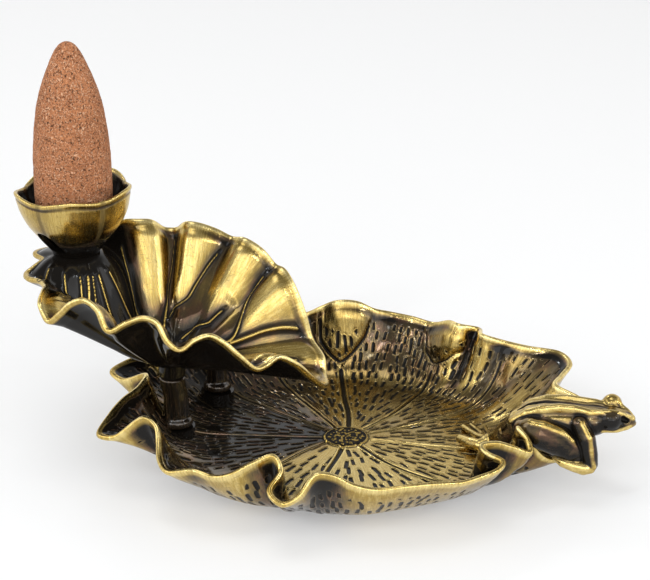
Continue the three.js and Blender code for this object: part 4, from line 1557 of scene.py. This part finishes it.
@dataclass
class IncenseCone:
    """Pressed cone with a blind bore from below."""

    bottom: float = 42.0
    radius: float = 7.0
    height: float = 31.4
    bore: float = 1.5
    bore_depth: float = 20.0
    ripple: float = 0.03
    grit: float = 0.05
    ripples: tuple[tuple[Triple, float], ...] = (
        ((1.9, 2.3, 1.1), 0.4), ((-2.7, 1.4, 2.9), 1.9), ((3.6, -3.1, 2.2), 3.1))
    profile: Rows = ((0.12, 1), (0.34, 0.99), (0.48, 0.94), (0.625, 0.85), (0.725, 0.735),
                     (0.81, 0.6), (0.895, 0.44), (0.955, 0.31), (0.985, 0.18))

    def dress(self, finish: Material) -> None:
        """Builds the cone.

        Args:
            finish: Its material.
        """
        b, r, h = self.bottom, self.radius, self.height
        share, wide = np.array(self.profile).T
        fine = np.linspace(share[0], share[-1], 40)
        side = [(r * float(np.interp(s, share, wide)), b + h * float(s)) for s in fine]
        rows = ((0, b + self.bore_depth), (self.bore, b + self.bore_depth - 0.8), (self.bore, b),
                (r - 0.5, b), (r - 0.1, b + 0.4), *side, (0.55, b + h * 0.9975), (0, b + h))
        skin = turned_skin(rows, lambda z: CUP_AXIS, 150, 0.3)
        for ring in skin.points[1:-1]:
            out = ring[:, :2] - np.array(CUP_AXIS)
            radius = np.linalg.norm(out, axis=1)
            wave = sum(np.sin(ring @ np.array(pull) + phase) for pull, phase in self.ripples)
            dent = (self.ripple * (wave / 3 - 1) - self.grit * jitter(*np.round(ring.T * 40)))
            ring[:, :2] += out / radius[:, None] * (dent * (radius > self.bore + 0.2))[:, None]
        fit_out(skin.piece("incense_cone_pressed", finish), CONE_BODY, Slot.INCENSE, "incense_cone")


@dataclass
class BudCup:
    """Lobed bud cup with a seat for the cone, a smoke chamber and the arch out of it.

    The rows of the lip are height over the cup's own, inset, edge and ink.
    """

    x: float = CUP_AXIS[0]
    y: float = CUP_AXIS[1]
    base: float = CUP_BASE
    height: float = 12.4
    wall: float = 1.2
    seat: float = 7.3
    plate: float = 1.4
    foot_plate: float = 1.5
    lobes: int = 5
    lobe_azimuth: float = 272.0
    lobe_depth: float = 0.4
    lobe_rise: float = 0.45
    crease_depth: float = 0.16
    tilt: float = 0.45
    hole: float = 1.4
    arch_azimuth: float = 229.0
    arch_width: float = 4.6
    arch_height: float = 4.2
    arch_power: float = 2.6
    arch_levels: int = 23
    stations: int = 240
    profile: Rows = ((0, 4), (0.06, 4.4), (0.27, 6.5), (0.49, 8.5), (0.71, 9.7), (1, 10.45))
    lip: Rows = (
        (-1.25, 0.1, 0.0, 0.2), (-1.05, 0.17, 0.0, 0.6), (-0.85, 0.12, 0.2, 0.2), (-0.62, 0.06, 0.6, 0.0),
        (-0.34, 0.05, 0.8, 0.0), (-0.12, 0.11, 0.9, 0.0), (-0.01, 0.25, 0.9, 0.0), (0.03, 0.42, 0.85, 0.0),
        (-0.03, 0.6, 0.7, 0.0), (-0.18, 0.74, 0.5, 0.0), (-0.42, 0.82, 0.2, 0.0),
    )

    def radius(self, z: Array | float, reach: int = 6) -> Array:
        """Outside radius, rounded between the profile's rows.

        Args:
            z: Heights over the base.
            reach: Hundredths of the height that are averaged on each side.

        Returns:
            The radii.
        """
        share, wide = np.array(self.profile).T
        fine, span = np.linspace(-0.1, 1.1, 121), 2 * reach + 1
        padded = np.pad(np.interp(fine, share, wide), reach, mode="edge")
        eased = np.convolve(padded, np.ones(span) / span, "valid")
        return np.interp(np.asarray(z) / self.height, fine, eased)

    def lobe(self, azimuth: Array) -> Array:
        """Swell of the lobes, from -1 in a crease to 1 on a lobe."""
        return np.cos(self.lobes * (azimuth - math.radians(self.lobe_azimuth)))

    def point(self, azimuth: Array, z: float, inset: float) -> Array:
        """Points of one level.

        Args:
            azimuth: Azimuths in radians.
            z: Height over the base before the lip's wave.
            inset: How far inside the outside face.

        Returns:
            The points.
        """
        share, lobe = min(z / self.height, 1.0), self.lobe(azimuth)
        bulge = self.lobe_depth * lobe - self.crease_depth * bell(lobe + 1.0, 0.1)
        wave = float(smoothstep(z / self.height, self.seat / self.height + 0.05, 1.0))
        h = z + (self.lobe_rise * lobe + self.tilt * np.cos(azimuth)) * wave
        return ring_at(self.x, self.y, azimuth, self.radius(z) - inset + bulge * share ** 2, self.base + h)

    def layer(self, azimuth: Array, points: Array, polish_and_painted_light: float, edge: float = 0.0,
              ink: float = 0.0) -> Layer:
        """Ring with its fields.

        Args:
            azimuth: Azimuths of its stations.
            points: Their places.
            polish_and_painted_light: Polish, a little higher on the lobes where it is rubbed; the outside's rows make
                it low at the foot as painted shade.
            edge: Edge.
            ink: Ink, deeper in the creases where it is rubbed.

        Returns:
            The layer.
        """
        lobe = self.lobe(azimuth)
        return points, {
            "polish_and_painted_light": polish_and_painted_light + (0.14 * lobe - 0.04) * (polish_and_painted_light > 0.2), "edge": edge,
            "ink": np.maximum(ink, 0.5 * smoothstep(lobe, -0.93, -1.0) * (polish_and_painted_light > 0.3)),
            "grain": np.stack([np.cos(azimuth) * 14, np.sin(azimuth) * 14, points[:, 2]], 1),
        }

    def pole(self, z: float, polish_and_painted_light: float) -> Layer:
        """Single vertex on the cup's axis."""
        return (np.array([[self.x, self.y, self.base + z]]),
                {"polish_and_painted_light": polish_and_painted_light, "edge": 0.0, "ink": np.zeros(1), "grain": np.zeros((1, 3))})

    def dress(self, finish: Material) -> None:
        """Builds the cup.

        Args:
            finish: Its material.
        """
        a, lip, chamber = circle(self.stations), self.height, self.seat - self.plate
        shared = np.linspace(self.foot_plate, chamber, self.arch_levels)
        # Painted shade: the outside's polish runs from dark at the foot, where the cup meets the leaf, up to bright
        # below the lip.
        rows = [(0.0, 0.3, 0.02), (0.15, 0.05, 0.02)]
        rows += [(z, 0.0, 0.02) for z in np.arange(0.45, self.foot_plate - 0.1, 0.3)]
        outer_first = len(rows) + 1
        rows += [(z, 0.0, -0.1 + 0.78 * smoothstep(z, 2.0, 5.2)) for z in shared]
        rows += [(z, 0.06 * smoothstep(z, 7.0, 10.5), 0.68 + 0.12 * smoothstep(z, 5.2, 9.0))
                 for z in np.arange(chamber + 0.25, lip - 1.35, 0.25)]
        rows += [(lip + over, inset, 0.5, edge, ink) for over, inset, edge, ink in self.lip]
        rows += [(z, self.wall - 0.36 * smoothstep(z, lip - 4.0, lip - 0.6), 0.05)
                 for z in np.arange(lip - 0.8, self.seat, -0.3)]
        rows.append((self.seat + 0.1, self.wall + 0.1, 0.05))
        seat_edge, ceiling_edge, floor_edge = (
            float(self.radius(z)) - self.wall - gap
            for z, gap in ((self.seat, 0.25), (chamber, 0.2), (self.foot_plate, 0.3)))
        discs = [(r, self.seat, 0.05) for r in np.linspace(seat_edge, self.hole + 0.15, 14)]
        discs += [(self.hole, self.seat - 0.15, 0.05), (self.hole, chamber + 0.15, 0.05),
                  (self.hole + 0.15, chamber, 0.05)]
        discs += [(r, chamber, 0.03) for r in np.linspace(self.hole + 0.5, ceiling_edge, 10)]
        floor = [(r, self.foot_plate, 0.04) for r in np.linspace(floor_edge, 0.4, 6)]

        def flat(disc_rows: Rows) -> list[Layer]:
            """Layers of level rings about the cup's axis."""
            return [self.layer(a, ring_at(self.x, self.y, a, r, self.base + z), polish_and_painted_light)
                    for r, z, polish_and_painted_light in disc_rows]

        layers = [self.pole(0.0, 0.05)]
        layers += [self.layer(a, self.point(a, z, inset), *look) for z, inset, *look in rows]
        layers += flat(discs)
        layers += [self.layer(a, self.point(a, z, self.wall), 0.06) for z in shared[::-1]]
        inner_last = len(layers) - 1
        layers += [*flat(floor), self.pole(self.foot_plate, 0.04)]
        skin = Skin()
        rings = skin.stack(layers)
        self.cut_arch(skin, rings, a, shared, outer_first, inner_last)
        fit_out(skin.piece("bud_cup_cast", finish, 60.0), BODY, Slot.BRONZE, "bud_cup")

    def cut_arch(self, skin: Skin, rings: list[Array], a: Array, shared: Array,
                 outer_first: int, inner_last: int) -> None:
        """Opens the arch through the wall and lines it.

        Args:
            skin: The cup's skin, which has one block of points for each ring.
            rings: Vertex numbers of its rings.
            a: Azimuths of the stations.
            shared: Heights of the rings that both faces of the wall have.
            outer_first: Number of the outside's lowest shared ring.
            inner_last: Number of the inside's lowest shared ring, which comes last.
        """
        n, levels, arch, mid = self.stations, len(shared), math.radians(self.arch_azimuth), self.foot_plate
        outer, inner = (np.array([rings[first + way * k] for k in range(levels)])
                        for first, way in ((outer_first, 1), (inner_last, -1)))
        power = self.arch_power
        across = np.sin(turn(a - arch))[None] * self.radius(shared)[:, None]
        size = (np.abs(across / (self.arch_width / 2)) ** power
                + np.abs((shared - mid) / self.arch_height)[:, None] ** power) ** (1 / power)
        measure = np.where(np.cos(turn(a - arch))[None] > 0, size, FAR)
        pairs = measure[:-1] + measure[1:]
        gone = 0.25 * (pairs + np.roll(pairs, -1, 1)) < 1.0
        touched, whole = np.zeros(measure.shape, bool), np.ones(measure.shape, bool)
        padded = np.vstack([gone[:1], gone, np.zeros((1, n), bool)])
        for dk, dj in product((0, 1), repeat=2):
            touched[dk:levels - 1 + dk] |= np.roll(gone, dj, axis=1)
            whole &= np.roll(padded[dk:levels + dk], dj, axis=1)
        for k, j in np.argwhere(touched & ~whole):
            m = max(measure[k, j], 1e-3)
            z = float(max(mid + (shared[k] - mid) / m, shared[0]) if k else shared[0])
            azimuth = arch + math.asin(np.clip(across[k, j] / m / float(self.radius(z)), -0.99, 0.99))
            for block, inset in ((outer_first + k, 0.0), (inner_last - k, self.wall)):
                skin.points[block][j] = self.point(np.array([azimuth]), z, inset)[0]
        drop = {frozenset(face[k + dk, (j + dj) % n] for dk, dj in product((0, 1), repeat=2))
                for face in (outer, inner) for k, j in np.argwhere(gone)}
        skin.quads = [np.array([q for q in block if frozenset(q.tolist()) not in drop]).reshape(-1, 4)
                      for block in skin.quads]
        lining = []
        for k, j in np.argwhere(gone):
            nxt = (j + 1) % n
            corners = ((k, j), (k, nxt), (k + 1, nxt), (k + 1, j))
            beside = ((k - 1, j), (k, nxt), (k + 1, j), (k, j - 1))
            for first, second, (bk, bj) in zip(corners, corners[1:] + corners[:1], beside):
                if not 0 <= bk < levels - 1 or not gone[bk, bj]:
                    lining.append([outer[first], outer[second], inner[second], inner[first]])
        skin.quads.append(np.array(lining)[:, ::-1])


# The frog.


@dataclass(frozen=True)
class Limb:
    """Tapered limb: along, left, up, half width and half height at each joint, and its finish."""

    rows: Rows
    soft: float = 0.35
    cut: bool = False
    polish_and_painted_light: float | None = None
    edge: float = 0.0
    ink: float = 0.0

    def gap(self, p: Array) -> Array:
        """Distance from points to the limb, negative inside.

        Args:
            p: Points by 3.

        Returns:
            The distance.
        """
        best = np.full(len(p), 1e3)
        for a, b in zip(self.rows[:-1], self.rows[1:]):
            start = np.array(a[:3], float)
            way = np.array(b[:3], float) - start
            h = np.clip(((p - start) @ way) / max(way @ way, 1e-9), 0.0, 1.0)
            off = p - start - h[:, None] * way
            wide, tall = (a[k] + (b[k] - a[k]) * h for k in (3, -1))
            d = np.sqrt(off[:, 0] ** 2 + (off[:, 1] * tall / wide) ** 2 + off[:, 2] ** 2) - tall
            best = np.minimum(best, d * np.minimum(wide / tall, 1.0))
        return best


@dataclass
class Clay:
    """Soft form built up from limbs on a grid, as a distance field."""

    low: Triple
    high: Triple
    step: float
    limbs: Sequence[Limb]
    margin: float = 2.0
    probe: float = 0.05

    def value(self, p: Array) -> Array:
        """Distance field of the whole form.

        Args:
            p: Points by 3.

        Returns:
            The distance, negative inside.
        """
        total = np.full(len(p), 50.0)
        for limb in self.limbs:
            joints = np.array([r[:3] for r in limb.rows], float)
            wide = max(max(r[3], r[-1]) for r in limb.rows) + self.margin
            near = np.all((p > joints.min(0) - wide) & (p < joints.max(0) + wide), axis=1)
            d, was = limb.gap(p[near]), total[near]
            sign = -1.0 if limb.cut else 1.0
            fillet = np.clip(1 - np.abs(sign * was - d) / limb.soft, 0, 1) ** 2
            total[near] = sign * (np.minimum(sign * was, d) - limb.soft * 0.25 * fillet)
        return total

    def net(self) -> tuple[Array, list[list[int]]]:
        """Surface net over the zero level.

        Returns:
            The vertices and the faces.
        """
        axes = [np.arange(lo, hi, self.step) for lo, hi in zip(self.low, self.high)]
        grid = np.stack(np.meshgrid(*axes, indexing="ij"), -1)
        shape = grid.shape[:3]
        value = self.value(grid.reshape(-1, 3)).reshape(shape)
        inside = value < 0
        count = np.zeros(tuple(s - 1 for s in shape))
        total = np.zeros(count.shape + (3,))
        crossings = []
        for axis in range(3):
            a, b = (tuple(part if k == axis else slice(None) for k in range(3))
                    for part in (slice(0, -1), slice(1, None)))
            cross = inside[a] != inside[b]
            t = np.zeros(cross.shape)
            t[cross] = value[a][cross] / (value[a][cross] - value[b][cross])
            spot = grid[a].copy()
            spot[..., axis] += t * self.step
            others = [k for k in range(3) if k != axis]
            for shift in product((0, 1), repeat=2):
                first = dict(zip(others, shift))
                take = tuple(slice(first.get(k, 0), shape[k] - 1 + first.get(k, 0)) for k in range(3))
                total += spot[take] * cross[take][..., None]
                count += cross[take]
            crossings.append((axis, others, cross, inside[a]))
        active = count > 0
        number = np.full(count.shape, -1)
        number[active] = np.arange(active.sum())
        faces: list[list[int]] = []
        for axis, others, cross, starts_inside in crossings:
            places = np.argwhere(cross)
            ok = [(places[:, k] > 0) & (places[:, k] < shape[k] - 1) for k in others]
            places = places[ok[0] & ok[1]]
            corners = []
            for shift in ((1, 1), (0, 1), (0, 0), (1, 0)):
                cell = places.copy()
                cell[:, others] -= shift
                corners.append(number[tuple(cell.T)])
            quad = np.stack(corners, 1)
            turned = starts_inside[tuple(places.T)] == (axis == 1)
            quad[turned] = quad[turned][:, ::-1]
            faces += quad.tolist()
        points = total[active] / count[active][:, None]
        for _ in range(2):
            points = points - np.clip(self.value(points), -0.1, 0.1)[:, None] * self.slope(points)
        return points, faces

    def slope(self, p: Array) -> Array:
        """Unit outward direction at points."""
        grad = np.stack([self.value(p + d) - self.value(p - d) for d in np.eye(3) * self.probe], 1)
        return grad / (np.linalg.norm(grad, axis=1, keepdims=True) + 1e-9)


@dataclass
class Frog:
    """Frog that sits across the rim, one hind leg stretched onto the leaf."""

    rump: Pair = (27.5, -13.5)
    nose: Pair = (48.5, -18.0)
    low: Triple = (-10.6, -8.0, 2.2)
    high: Triple = (23.0, 17.6, 19.2)
    step: float = 0.18

    @staticmethod
    def path(left: float | Sequence[float], thick: float | Sequence[float], *points: Pair) -> Rows:
        """Rows of a round limb from its points along and up.

        Args:
            left: How far left it lies, the same all along or at each point.
            thick: Its radius, the same all along or at each point.
            points: Along and up at each point.

        Returns:
            The rows.
        """
        lefts = left if isinstance(left, Sequence) else [left] * len(points)
        radii = thick if isinstance(thick, Sequence) else [thick] * len(points)
        return tuple((a, side, up, r) for (a, up), side, r in zip(points, lefts, radii))

    def limbs(self) -> list[Limb]:
        """Lists the frog's limbs in the order they are joined.

        They are the body, the head, the belly, two ridges of the back with a groove between them,
        the far flank, the near hind leg, the forelegs, the far hind leg with its foot and three
        toes on the leaf, the far eye, the nostril, then the mouth and brows, and the near eye.

        Returns:
            The limbs, with places along, left and up from the rump.
        """
        path = self.path
        parts = [
            Limb(((0.3, 0, 9.6, 1.5, 1.7), (2.9, 0, 11.9, 3.0, 2.8), (5.2, 0, 13.0, 3.9, 3.2),
                  (7.2, 0, 13.4, 4.3, 3.3), (10.7, 0, 13.6, 4.1, 3.2), (15.2, 0, 14.0, 3.5, 2.6)),
                 0.8, polish_and_painted_light=0.24),
            Limb(((15.4, 0, 14.2, 3.3, 2.3), (18.3, 0, 14.8, 2.8, 1.8), (20.2, 0, 14.5, 1.95, 1.55),
                  (21.1, 0, 14.2, 1.2, 1.1)), 0.8, polish_and_painted_light=0.18),
            Limb(((4.0, 1.5, 10.3, 2.3), (4.0, 1.5, 12.4, 2.3)), 0.4, polish_and_painted_light=0.1),
            Limb(path((1.2, 1.4, 1.7, 1.9, 1.8, 1.6, 1.5), (0.5, 0.7, 0.8, 0.8, 0.75, 0.6, 0.4),
                      (0.7, 11.7), (2.1, 13.3), (4.2, 15.2), (6.7, 16.1), (10.3, 16.6), (15.2, 16.5),
                      (17.7, 16.2)), 0.7, polish_and_painted_light=0.7, edge=0.15),
            Limb(path((-1.6, -2.1, -2.3, -2.3, -2.2, -2.1, -2.1), (0.5, 0.7, 0.8, 0.8, 0.75, 0.6, 0.45),
                      (1.2, 12.9), (3.9, 15.0), (6.3, 16.0), (9.4, 16.6), (11.9, 16.6), (14.6, 16.2),
                      (16.5, 16.4)), 0.7, polish_and_painted_light=0.66, edge=0.1),
            Limb(path((-0.3,) * 6, (0.22, 0.28, 0.32, 0.32, 0.28, 0.22), (1.0, 12.9), (3.2, 15.2),
                      (5.6, 16.5), (9.2, 17.05), (12.9, 17.0), (17.2, 16.8)), 0.3, True,
                 polish_and_painted_light=0.0, ink=0.5),
            Limb(path((3.3, 3.9, 4.1, 3.7), (0.45, 0.55, 0.55, 0.4), (3.0, 13.2), (5.6, 14.9),
                      (9.0, 15.6), (13.4, 15.4)), 0.4, polish_and_painted_light=0.6, edge=0.3),
            Limb(((3.4, -3.2, 12.6, 1.6, 1.7), (5.0, -4.0, 12.8, 2.3, 2.3), (7.0, -4.3, 12.3, 2.7, 2.75),
                  (9.6, -4.4, 11.5, 2.6, 2.75), (11.8, -4.6, 10.0, 2.0, 2.1), (12.9, -4.8, 8.8, 1.3, 1.2)),
                 0.25, polish_and_painted_light=0.08),
            Limb(path((-4.0, -5.0, -5.5, -5.7, -5.6, -5.4), (0.4, 0.6, 0.7, 0.7, 0.6, 0.4), (3.4, 13.8),
                      (5.0, 14.5), (7.2, 14.5), (9.8, 13.7), (12.0, 12.0), (13.2, 9.8)), 0.9,
                 polish_and_painted_light=0.42),
            Limb(path((-5.2, -5.7, -5.8, -5.8, -5.6), (0.5, 0.8, 1.0, 1.1, 0.95), (9.3, 8.5), (10.6, 8.05),
                      (12.6, 7.6), (14.2, 7.3), (15.3, 7.4)), 0.2, polish_and_painted_light=0.85, edge=0.35),
            Limb(path((-3.2, -4.5, -4.9, -5.1), (1.5, 1.6, 1.4, 1.2), (13.0, 14.3), (14.4, 12.2),
                      (15.1, 9.6), (15.4, 8.0)), 0.25, polish_and_painted_light=-0.05),
            Limb(path((-4.3, -5.6, -6.0, -6.0, -6.0), (0.3, 0.3, 0.25, 0.25, 0.3), (13.5, 15.0),
                      (15.0, 12.9), (15.4, 10.9), (15.6, 9.2), (16.0, 7.8)), 0.5, polish_and_painted_light=0.6, edge=0.1),
            Limb(path((3.0, 4.4, 5.0, 5.4), (1.5, 1.45, 1.15, 1.0), (13.0, 14.0), (13.8, 12.4),
                      (13.6, 10.9), (14.2, 9.4)), 0.35, polish_and_painted_light=0.15),
            Limb(path((3.6, 4.7, 5.0, 4.6, 4.6), (1.5, 2.0, 2.05, 1.5, 1.2), (3.6, 12.5), (6.2, 12.4),
                      (9.0, 11.9), (11.4, 11.0), (12.4, 9.8)), 0.35, polish_and_painted_light=0.2),
            Limb(path((2.6, 5.5, 6.6, 7.4, 7.6), (1.8, 1.6, 1.35, 1.1, 0.95), (2.6, 11.2), (-0.3, 8.1),
                      (-1.6, 6.3), (-3.1, 5.1), (-4.6, 4.3)), 0.5, polish_and_painted_light=0.4),
            Limb(path((6.9, 6.2, 7.4, 9.1), (1.0, 1.15, 1.15, 0.85), (-4.0, 4.4), (-5.2, 3.9), (-7.0, 3.6),
                      (-9.0, 3.45)), 0.4, polish_and_painted_light=0.62, edge=0.2),
            *(Limb(path(lefts, radii, *points), 0.25, polish_and_painted_light=0.62, edge=0.3) for lefts, radii, points in (
                ((7.7, 8.7, 10.6, 13.2, 15.2), (0.8, 0.66, 0.6, 0.52, 0.48),
                 ((-4.0, 4.5), (-4.4, 4.2), (-6.1, 3.6), (-7.9, 3.15), (-9.4, 3.0))),
                ((7.8, 8.9, 11.0, 14.2, 16.1), (0.8, 0.62, 0.56, 0.48, 0.44),
                 ((-3.7, 4.5), (-4.2, 4.2), (-5.2, 3.65), (-6.9, 3.15), (-8.1, 3.0))),
                ((7.8, 9.7, 12.6, 15.2), (0.8, 0.55, 0.5, 0.44),
                 ((-3.4, 4.6), (-3.7, 4.15), (-4.5, 3.5), (-5.4, 3.2))),
            )),
            Limb(((17.9, 2.4, 16.0, 1.75), (17.95, 2.4, 16.1, 1.75)), 0.35, polish_and_painted_light=0.3),
            Limb(((20.2, -0.2, 17.1, 0.45), (21.3, -0.2, 16.2, 0.45)), 0.3, True, polish_and_painted_light=0.1, ink=0.6),
        ]
        for side in (-1, 1):
            parts.append(Limb(path((side * 2.8, side * 2.35, side * 1.45, side * 0.1), 0.3, (17.0, 13.3),
                                   (19.3, 13.3), (21.0, 13.6), (21.9, 13.9)), 0.5, polish_and_painted_light=0.75, edge=0.3))
            parts.append(Limb(path((side * 2.1, side * 2.1, side * 1.8, side * 1.2, side * 0.3), 0.3,
                                   (16.4, 16.3), (17.7, 16.6), (19.3, 16.5), (20.6, 15.8), (21.7, 14.9)),
                              0.6, polish_and_painted_light=0.75, edge=0.2))
        parts.append(Limb(((18.2, -2.0, 15.1, 1.6), (18.3, -2.0, 15.1, 1.6)), 0.9, polish_and_painted_light=-0.18))
        parts.append(Limb(((20.1, -1.75, 15.35, 0.4), (20.8, -1.35, 14.9, 0.3)), 0.4, True, polish_and_painted_light=-0.1))
        return parts

    def place(self, p: Array) -> Array:
        """Turns the frog's own axes into the part's frame.

        Args:
            p: Points along, left and up from the rump.

        Returns:
            The points in the part's frame.
        """
        way = np.array(self.nose) - np.array(self.rump)
        way /= np.linalg.norm(way)
        x = self.rump[0] + way[0] * p[:, 0] - way[1] * p[:, 1]
        y = self.rump[1] + way[1] * p[:, 0] + way[0] * p[:, 1]
        return np.stack([x, y, p[:, 2]], 1)

    def dress(self, finish: Material) -> None:
        """Builds the frog.

        Args:
            finish: Its material.
        """
        clay = Clay(self.low, self.high, self.step, self.limbs())
        points, faces = clay.net()
        slope = clay.slope(points)
        crease = smoothstep(clay.value(points + slope * 0.8) / 0.8, 0.9, 0.5)
        thin = 1.0 + clay.value(points - slope * 0.6) / 0.6
        polish_and_painted_light, edge, ink = (np.zeros(len(points)) for _ in range(3))
        for limb in clay.limbs:
            if limb.polish_and_painted_light is not None:
                share = smoothstep(limb.gap(points), 0.32, 0.02)
                for values, value in ((polish_and_painted_light, limb.polish_and_painted_light), (edge, limb.edge), (ink, limb.ink)):
                    values += (value - values) * share
        # Painted light: upward faces get more polish and downward faces less, so the frog is lighter on top and
        # darker underneath.
        upward = smoothstep(slope[:, 2], -0.15, 0.85)
        polish_and_painted_light = polish_and_painted_light + 0.42 * upward + 0.25 * smoothstep(thin, 0.15, 0.6) - 0.55 * crease
        fields = {
            "polish_and_painted_light": np.minimum(polish_and_painted_light, 1.0) * (1 - ink),
            "edge": np.clip(edge * (1 - crease), 0, 1),
            "ink": np.clip(np.maximum(ink, crease - 0.25), 0, 1),
            "grain": np.stack([points[:, 1], points[:, 2], points[:, 0] * 5.0], 1) * 0.35,
        }
        piece = mesh_object("frog_cast", self.place(points), faces, fields, finish)
        fit_out(piece, BODY, Slot.BRONZE, "frog")


# Light, ground and camera.


@dataclass(frozen=True)
class Lamp:
    """Soft rectangular lamp: where it hangs and its size in metres, its power in watts and tint."""

    name: str
    place: Triple
    size: Pair
    power: float
    tint: Colour = (1.0, 1.0, 1.0)

    def hang(self, target: Triple) -> None:
        """Makes the lamp.

        Args:
            target: Where it points.
        """
        data = bpy.data.lights.new(self.name, "AREA")
        data.shape = "RECTANGLE"
        data.size, data.size_y = self.size
        data.energy = self.power
        data.color = self.tint
        made = bpy.data.objects.new(self.name, data)
        made.location = self.place
        made.rotation_euler = (Vector(target) - Vector(self.place)).to_track_quat("-Z", "Y").to_euler()
        bpy.context.scene.collection.objects.link(made)


@dataclass
class Studio:
    """Pale ground, soft lamps and the camera, in metres."""

    ground: float = 6.0
    ground_below: float = 0.00005
    camera_at: Triple = (-0.0038, -0.327, 0.162)
    clip_start: float = 0.01
    pitch: float = 21.8
    focal_pixels: float = 2000.0
    frame_width: int = 650
    sensor: float = 36.0
    target: Triple = (-0.005, 0.0, 0.02)
    horizon: float = 1.0
    zenith: float = 0.3
    sky_band: Pair = (0.48, 0.7)
    lamps: tuple[Lamp, ...] = (
        Lamp("top_softbox", (-0.1, -0.05, 0.7), (0.3, 0.3), 0.6),
        Lamp("front_panel", (0.05, -0.8, 0.55), (1.5, 0.6), 4.38),
        Lamp("left_panel", (-0.75, -0.1, 0.4), (0.5, 0.4), 1.1),
        Lamp("right_panel", (0.8, -0.05, 0.4), (0.5, 0.4), 0.8),
        Lamp("left_window", (-0.42, -0.38, 0.45), (0.026, 0.12), 0.32, (0.86, 0.93, 1.0)),
        Lamp("right_window", (0.48, -0.25, 0.38), (0.026, 0.12), 0.3, (0.9, 0.95, 1.0)),
        Lamp("low_window", (0.14, -0.6, 0.3), (0.03, 0.14), 0.14, (0.86, 0.93, 1.0)),
        Lamp("high_window", (-0.16, -0.5, 0.6), (0.14, 0.03), 0.14, (0.86, 0.93, 1.0)),
        Lamp("back_window", (-0.25, 0.5, 0.5), (0.12, 0.026), 0.28, (0.92, 0.96, 1.0)),
    )

    def set_up(self) -> None:
        """Makes the ground, the world, the lamps and the camera."""
        scene = bpy.context.scene
        half = self.ground / 2
        corners = np.array([[-half, -half, 0], [half, -half, 0], [half, half, 0], [-half, half, 0]])
        finish = PaleGround("pale_ground").material()
        floor = mesh_object("ground", corners / MM, [[0, 1, 2, 3]], {}, finish)
        floor.location.z = -self.ground_below
        floor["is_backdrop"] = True
        scene.world = self.sky()
        for lamp in self.lamps:
            lamp.hang(self.target)
        data = bpy.data.cameras.new("camera")
        data.sensor_width = self.sensor
        data.lens = self.focal_pixels * self.sensor / self.frame_width
        data.clip_start = self.clip_start
        camera = bpy.data.objects.new("camera", data)
        camera.location = self.camera_at
        camera.rotation_euler = (math.radians(90.0 - self.pitch), 0.0, 0.0)
        scene.collection.objects.link(camera)
        scene.camera = camera
        scene.view_settings.view_transform = "Standard"

    def sky(self) -> bpy.types.World:
        """Makes a world that is pale at the horizon and dim overhead.

        Returns:
            The world.
        """
        g = Graph(bpy.data.worlds.new("studio"), "ShaderNodeOutputWorld")
        way = g.node("ShaderNodeTexCoord", {}, {}).outputs["Generated"]
        height = g.wire("ShaderNodeSeparateXYZ", {}, {0: way}, "Z")
        tone = g.blend(abs(height).smooth(*self.sky_band), (self.horizon,) * 3, (self.zenith,) * 3)
        g.end(g.node("ShaderNodeBackground", {}, {"Color": tone}))
        return g.owner


def dress_frame_nodes() -> None:
    """Gives the hidden screws and the foot pad their finishes."""
    steel = ZincSteel("zinc_steel").material()
    foam = FoamRubber("foam_rubber").material()
    for name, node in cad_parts.items():
        finish = steel if name.endswith("screw") else foam if name == "foot_pad" else None
        if finish:
            for slot in node.material_slots:
                slot.material = finish
            log.info("%s keeps its CAD solid", name)


def screw_hole(low: float, ceiling: float) -> Rows:
    """Countersunk hole from below, as rows of radius and height from its ceiling down."""
    return ((0, ceiling), (1.5, ceiling), (1.5, low + 1.45), (2.55, low + 0.5), (2.55, low))


def pin_hole(low: float) -> Rows:
    """Hole for a stem's pin, as rows of radius and height from its ceiling down."""
    return ((0, low + 2.0), (1.45, low + 2.0), (1.45, low))


def main() -> None:
    """Builds the burner's pieces in order, then the studio."""
    logging.basicConfig(level=logging.INFO, format="%(message)s")
    bronze = AntiqueBronze("antique_bronze").material()
    dark = DarkBronze("dark_bronze_lacquer").material()
    grid = LowerLeaf().dress(bronze)
    for name, x, y, radius, low, ceiling, top in (
            ("front_stem_boss", -30.6, 0.0, 3.3, 1.1, 4.5, 4.9),
            ("rear_stem_boss", -24.0, 15.0, 3.1, 1.1, 4.7, 5.1),
            ("frog_boss", 31.73, -12.87, 3.3, 4.6, 7.3, 7.7)):
        Boss(name, "lotus_leaf_dish", x, y, radius, low, screw_hole(low, ceiling), top).dress(bronze, grid)
    grid = UpperLeaf().dress(bronze)
    for name, x, y, radius, low, hole in (
            ("front_socket", -31.2, 0.0, 2.4, 14.6, pin_hole(14.6)),
            ("rear_socket", -24.4, 12.6, 2.0, 24.3, pin_hole(24.3)),
            ("cup_boss", *CUP_AXIS, 3.8, 30.7, screw_hole(30.7, 33.0))):
        Boss(name, "upper_lotus_leaf", x, y, radius, low, hole).dress(bronze, grid)
    Stem("front_stem", -30.6, 0.0, (-0.6, 0.0), 2.3, 5.2, 14.55).dress(dark)
    Stem("rear_stem", -24.0, 15.0, (-0.4, -2.4), 1.9, 5.4, 24.25).dress(dark)
    BudCup().dress(bronze)
    IncenseCone().dress(PressedIncense("pressed_incense").material())
    Frog().dress(bronze)
    dress_frame_nodes()
    Studio().set_up()
    low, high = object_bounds()
    sizes = {"cad": [list(map(float, v)) for v in cad_box], "visual": [list(map(float, low)), list(map(float, high))]}


if __name__ == "__main__":
    main()
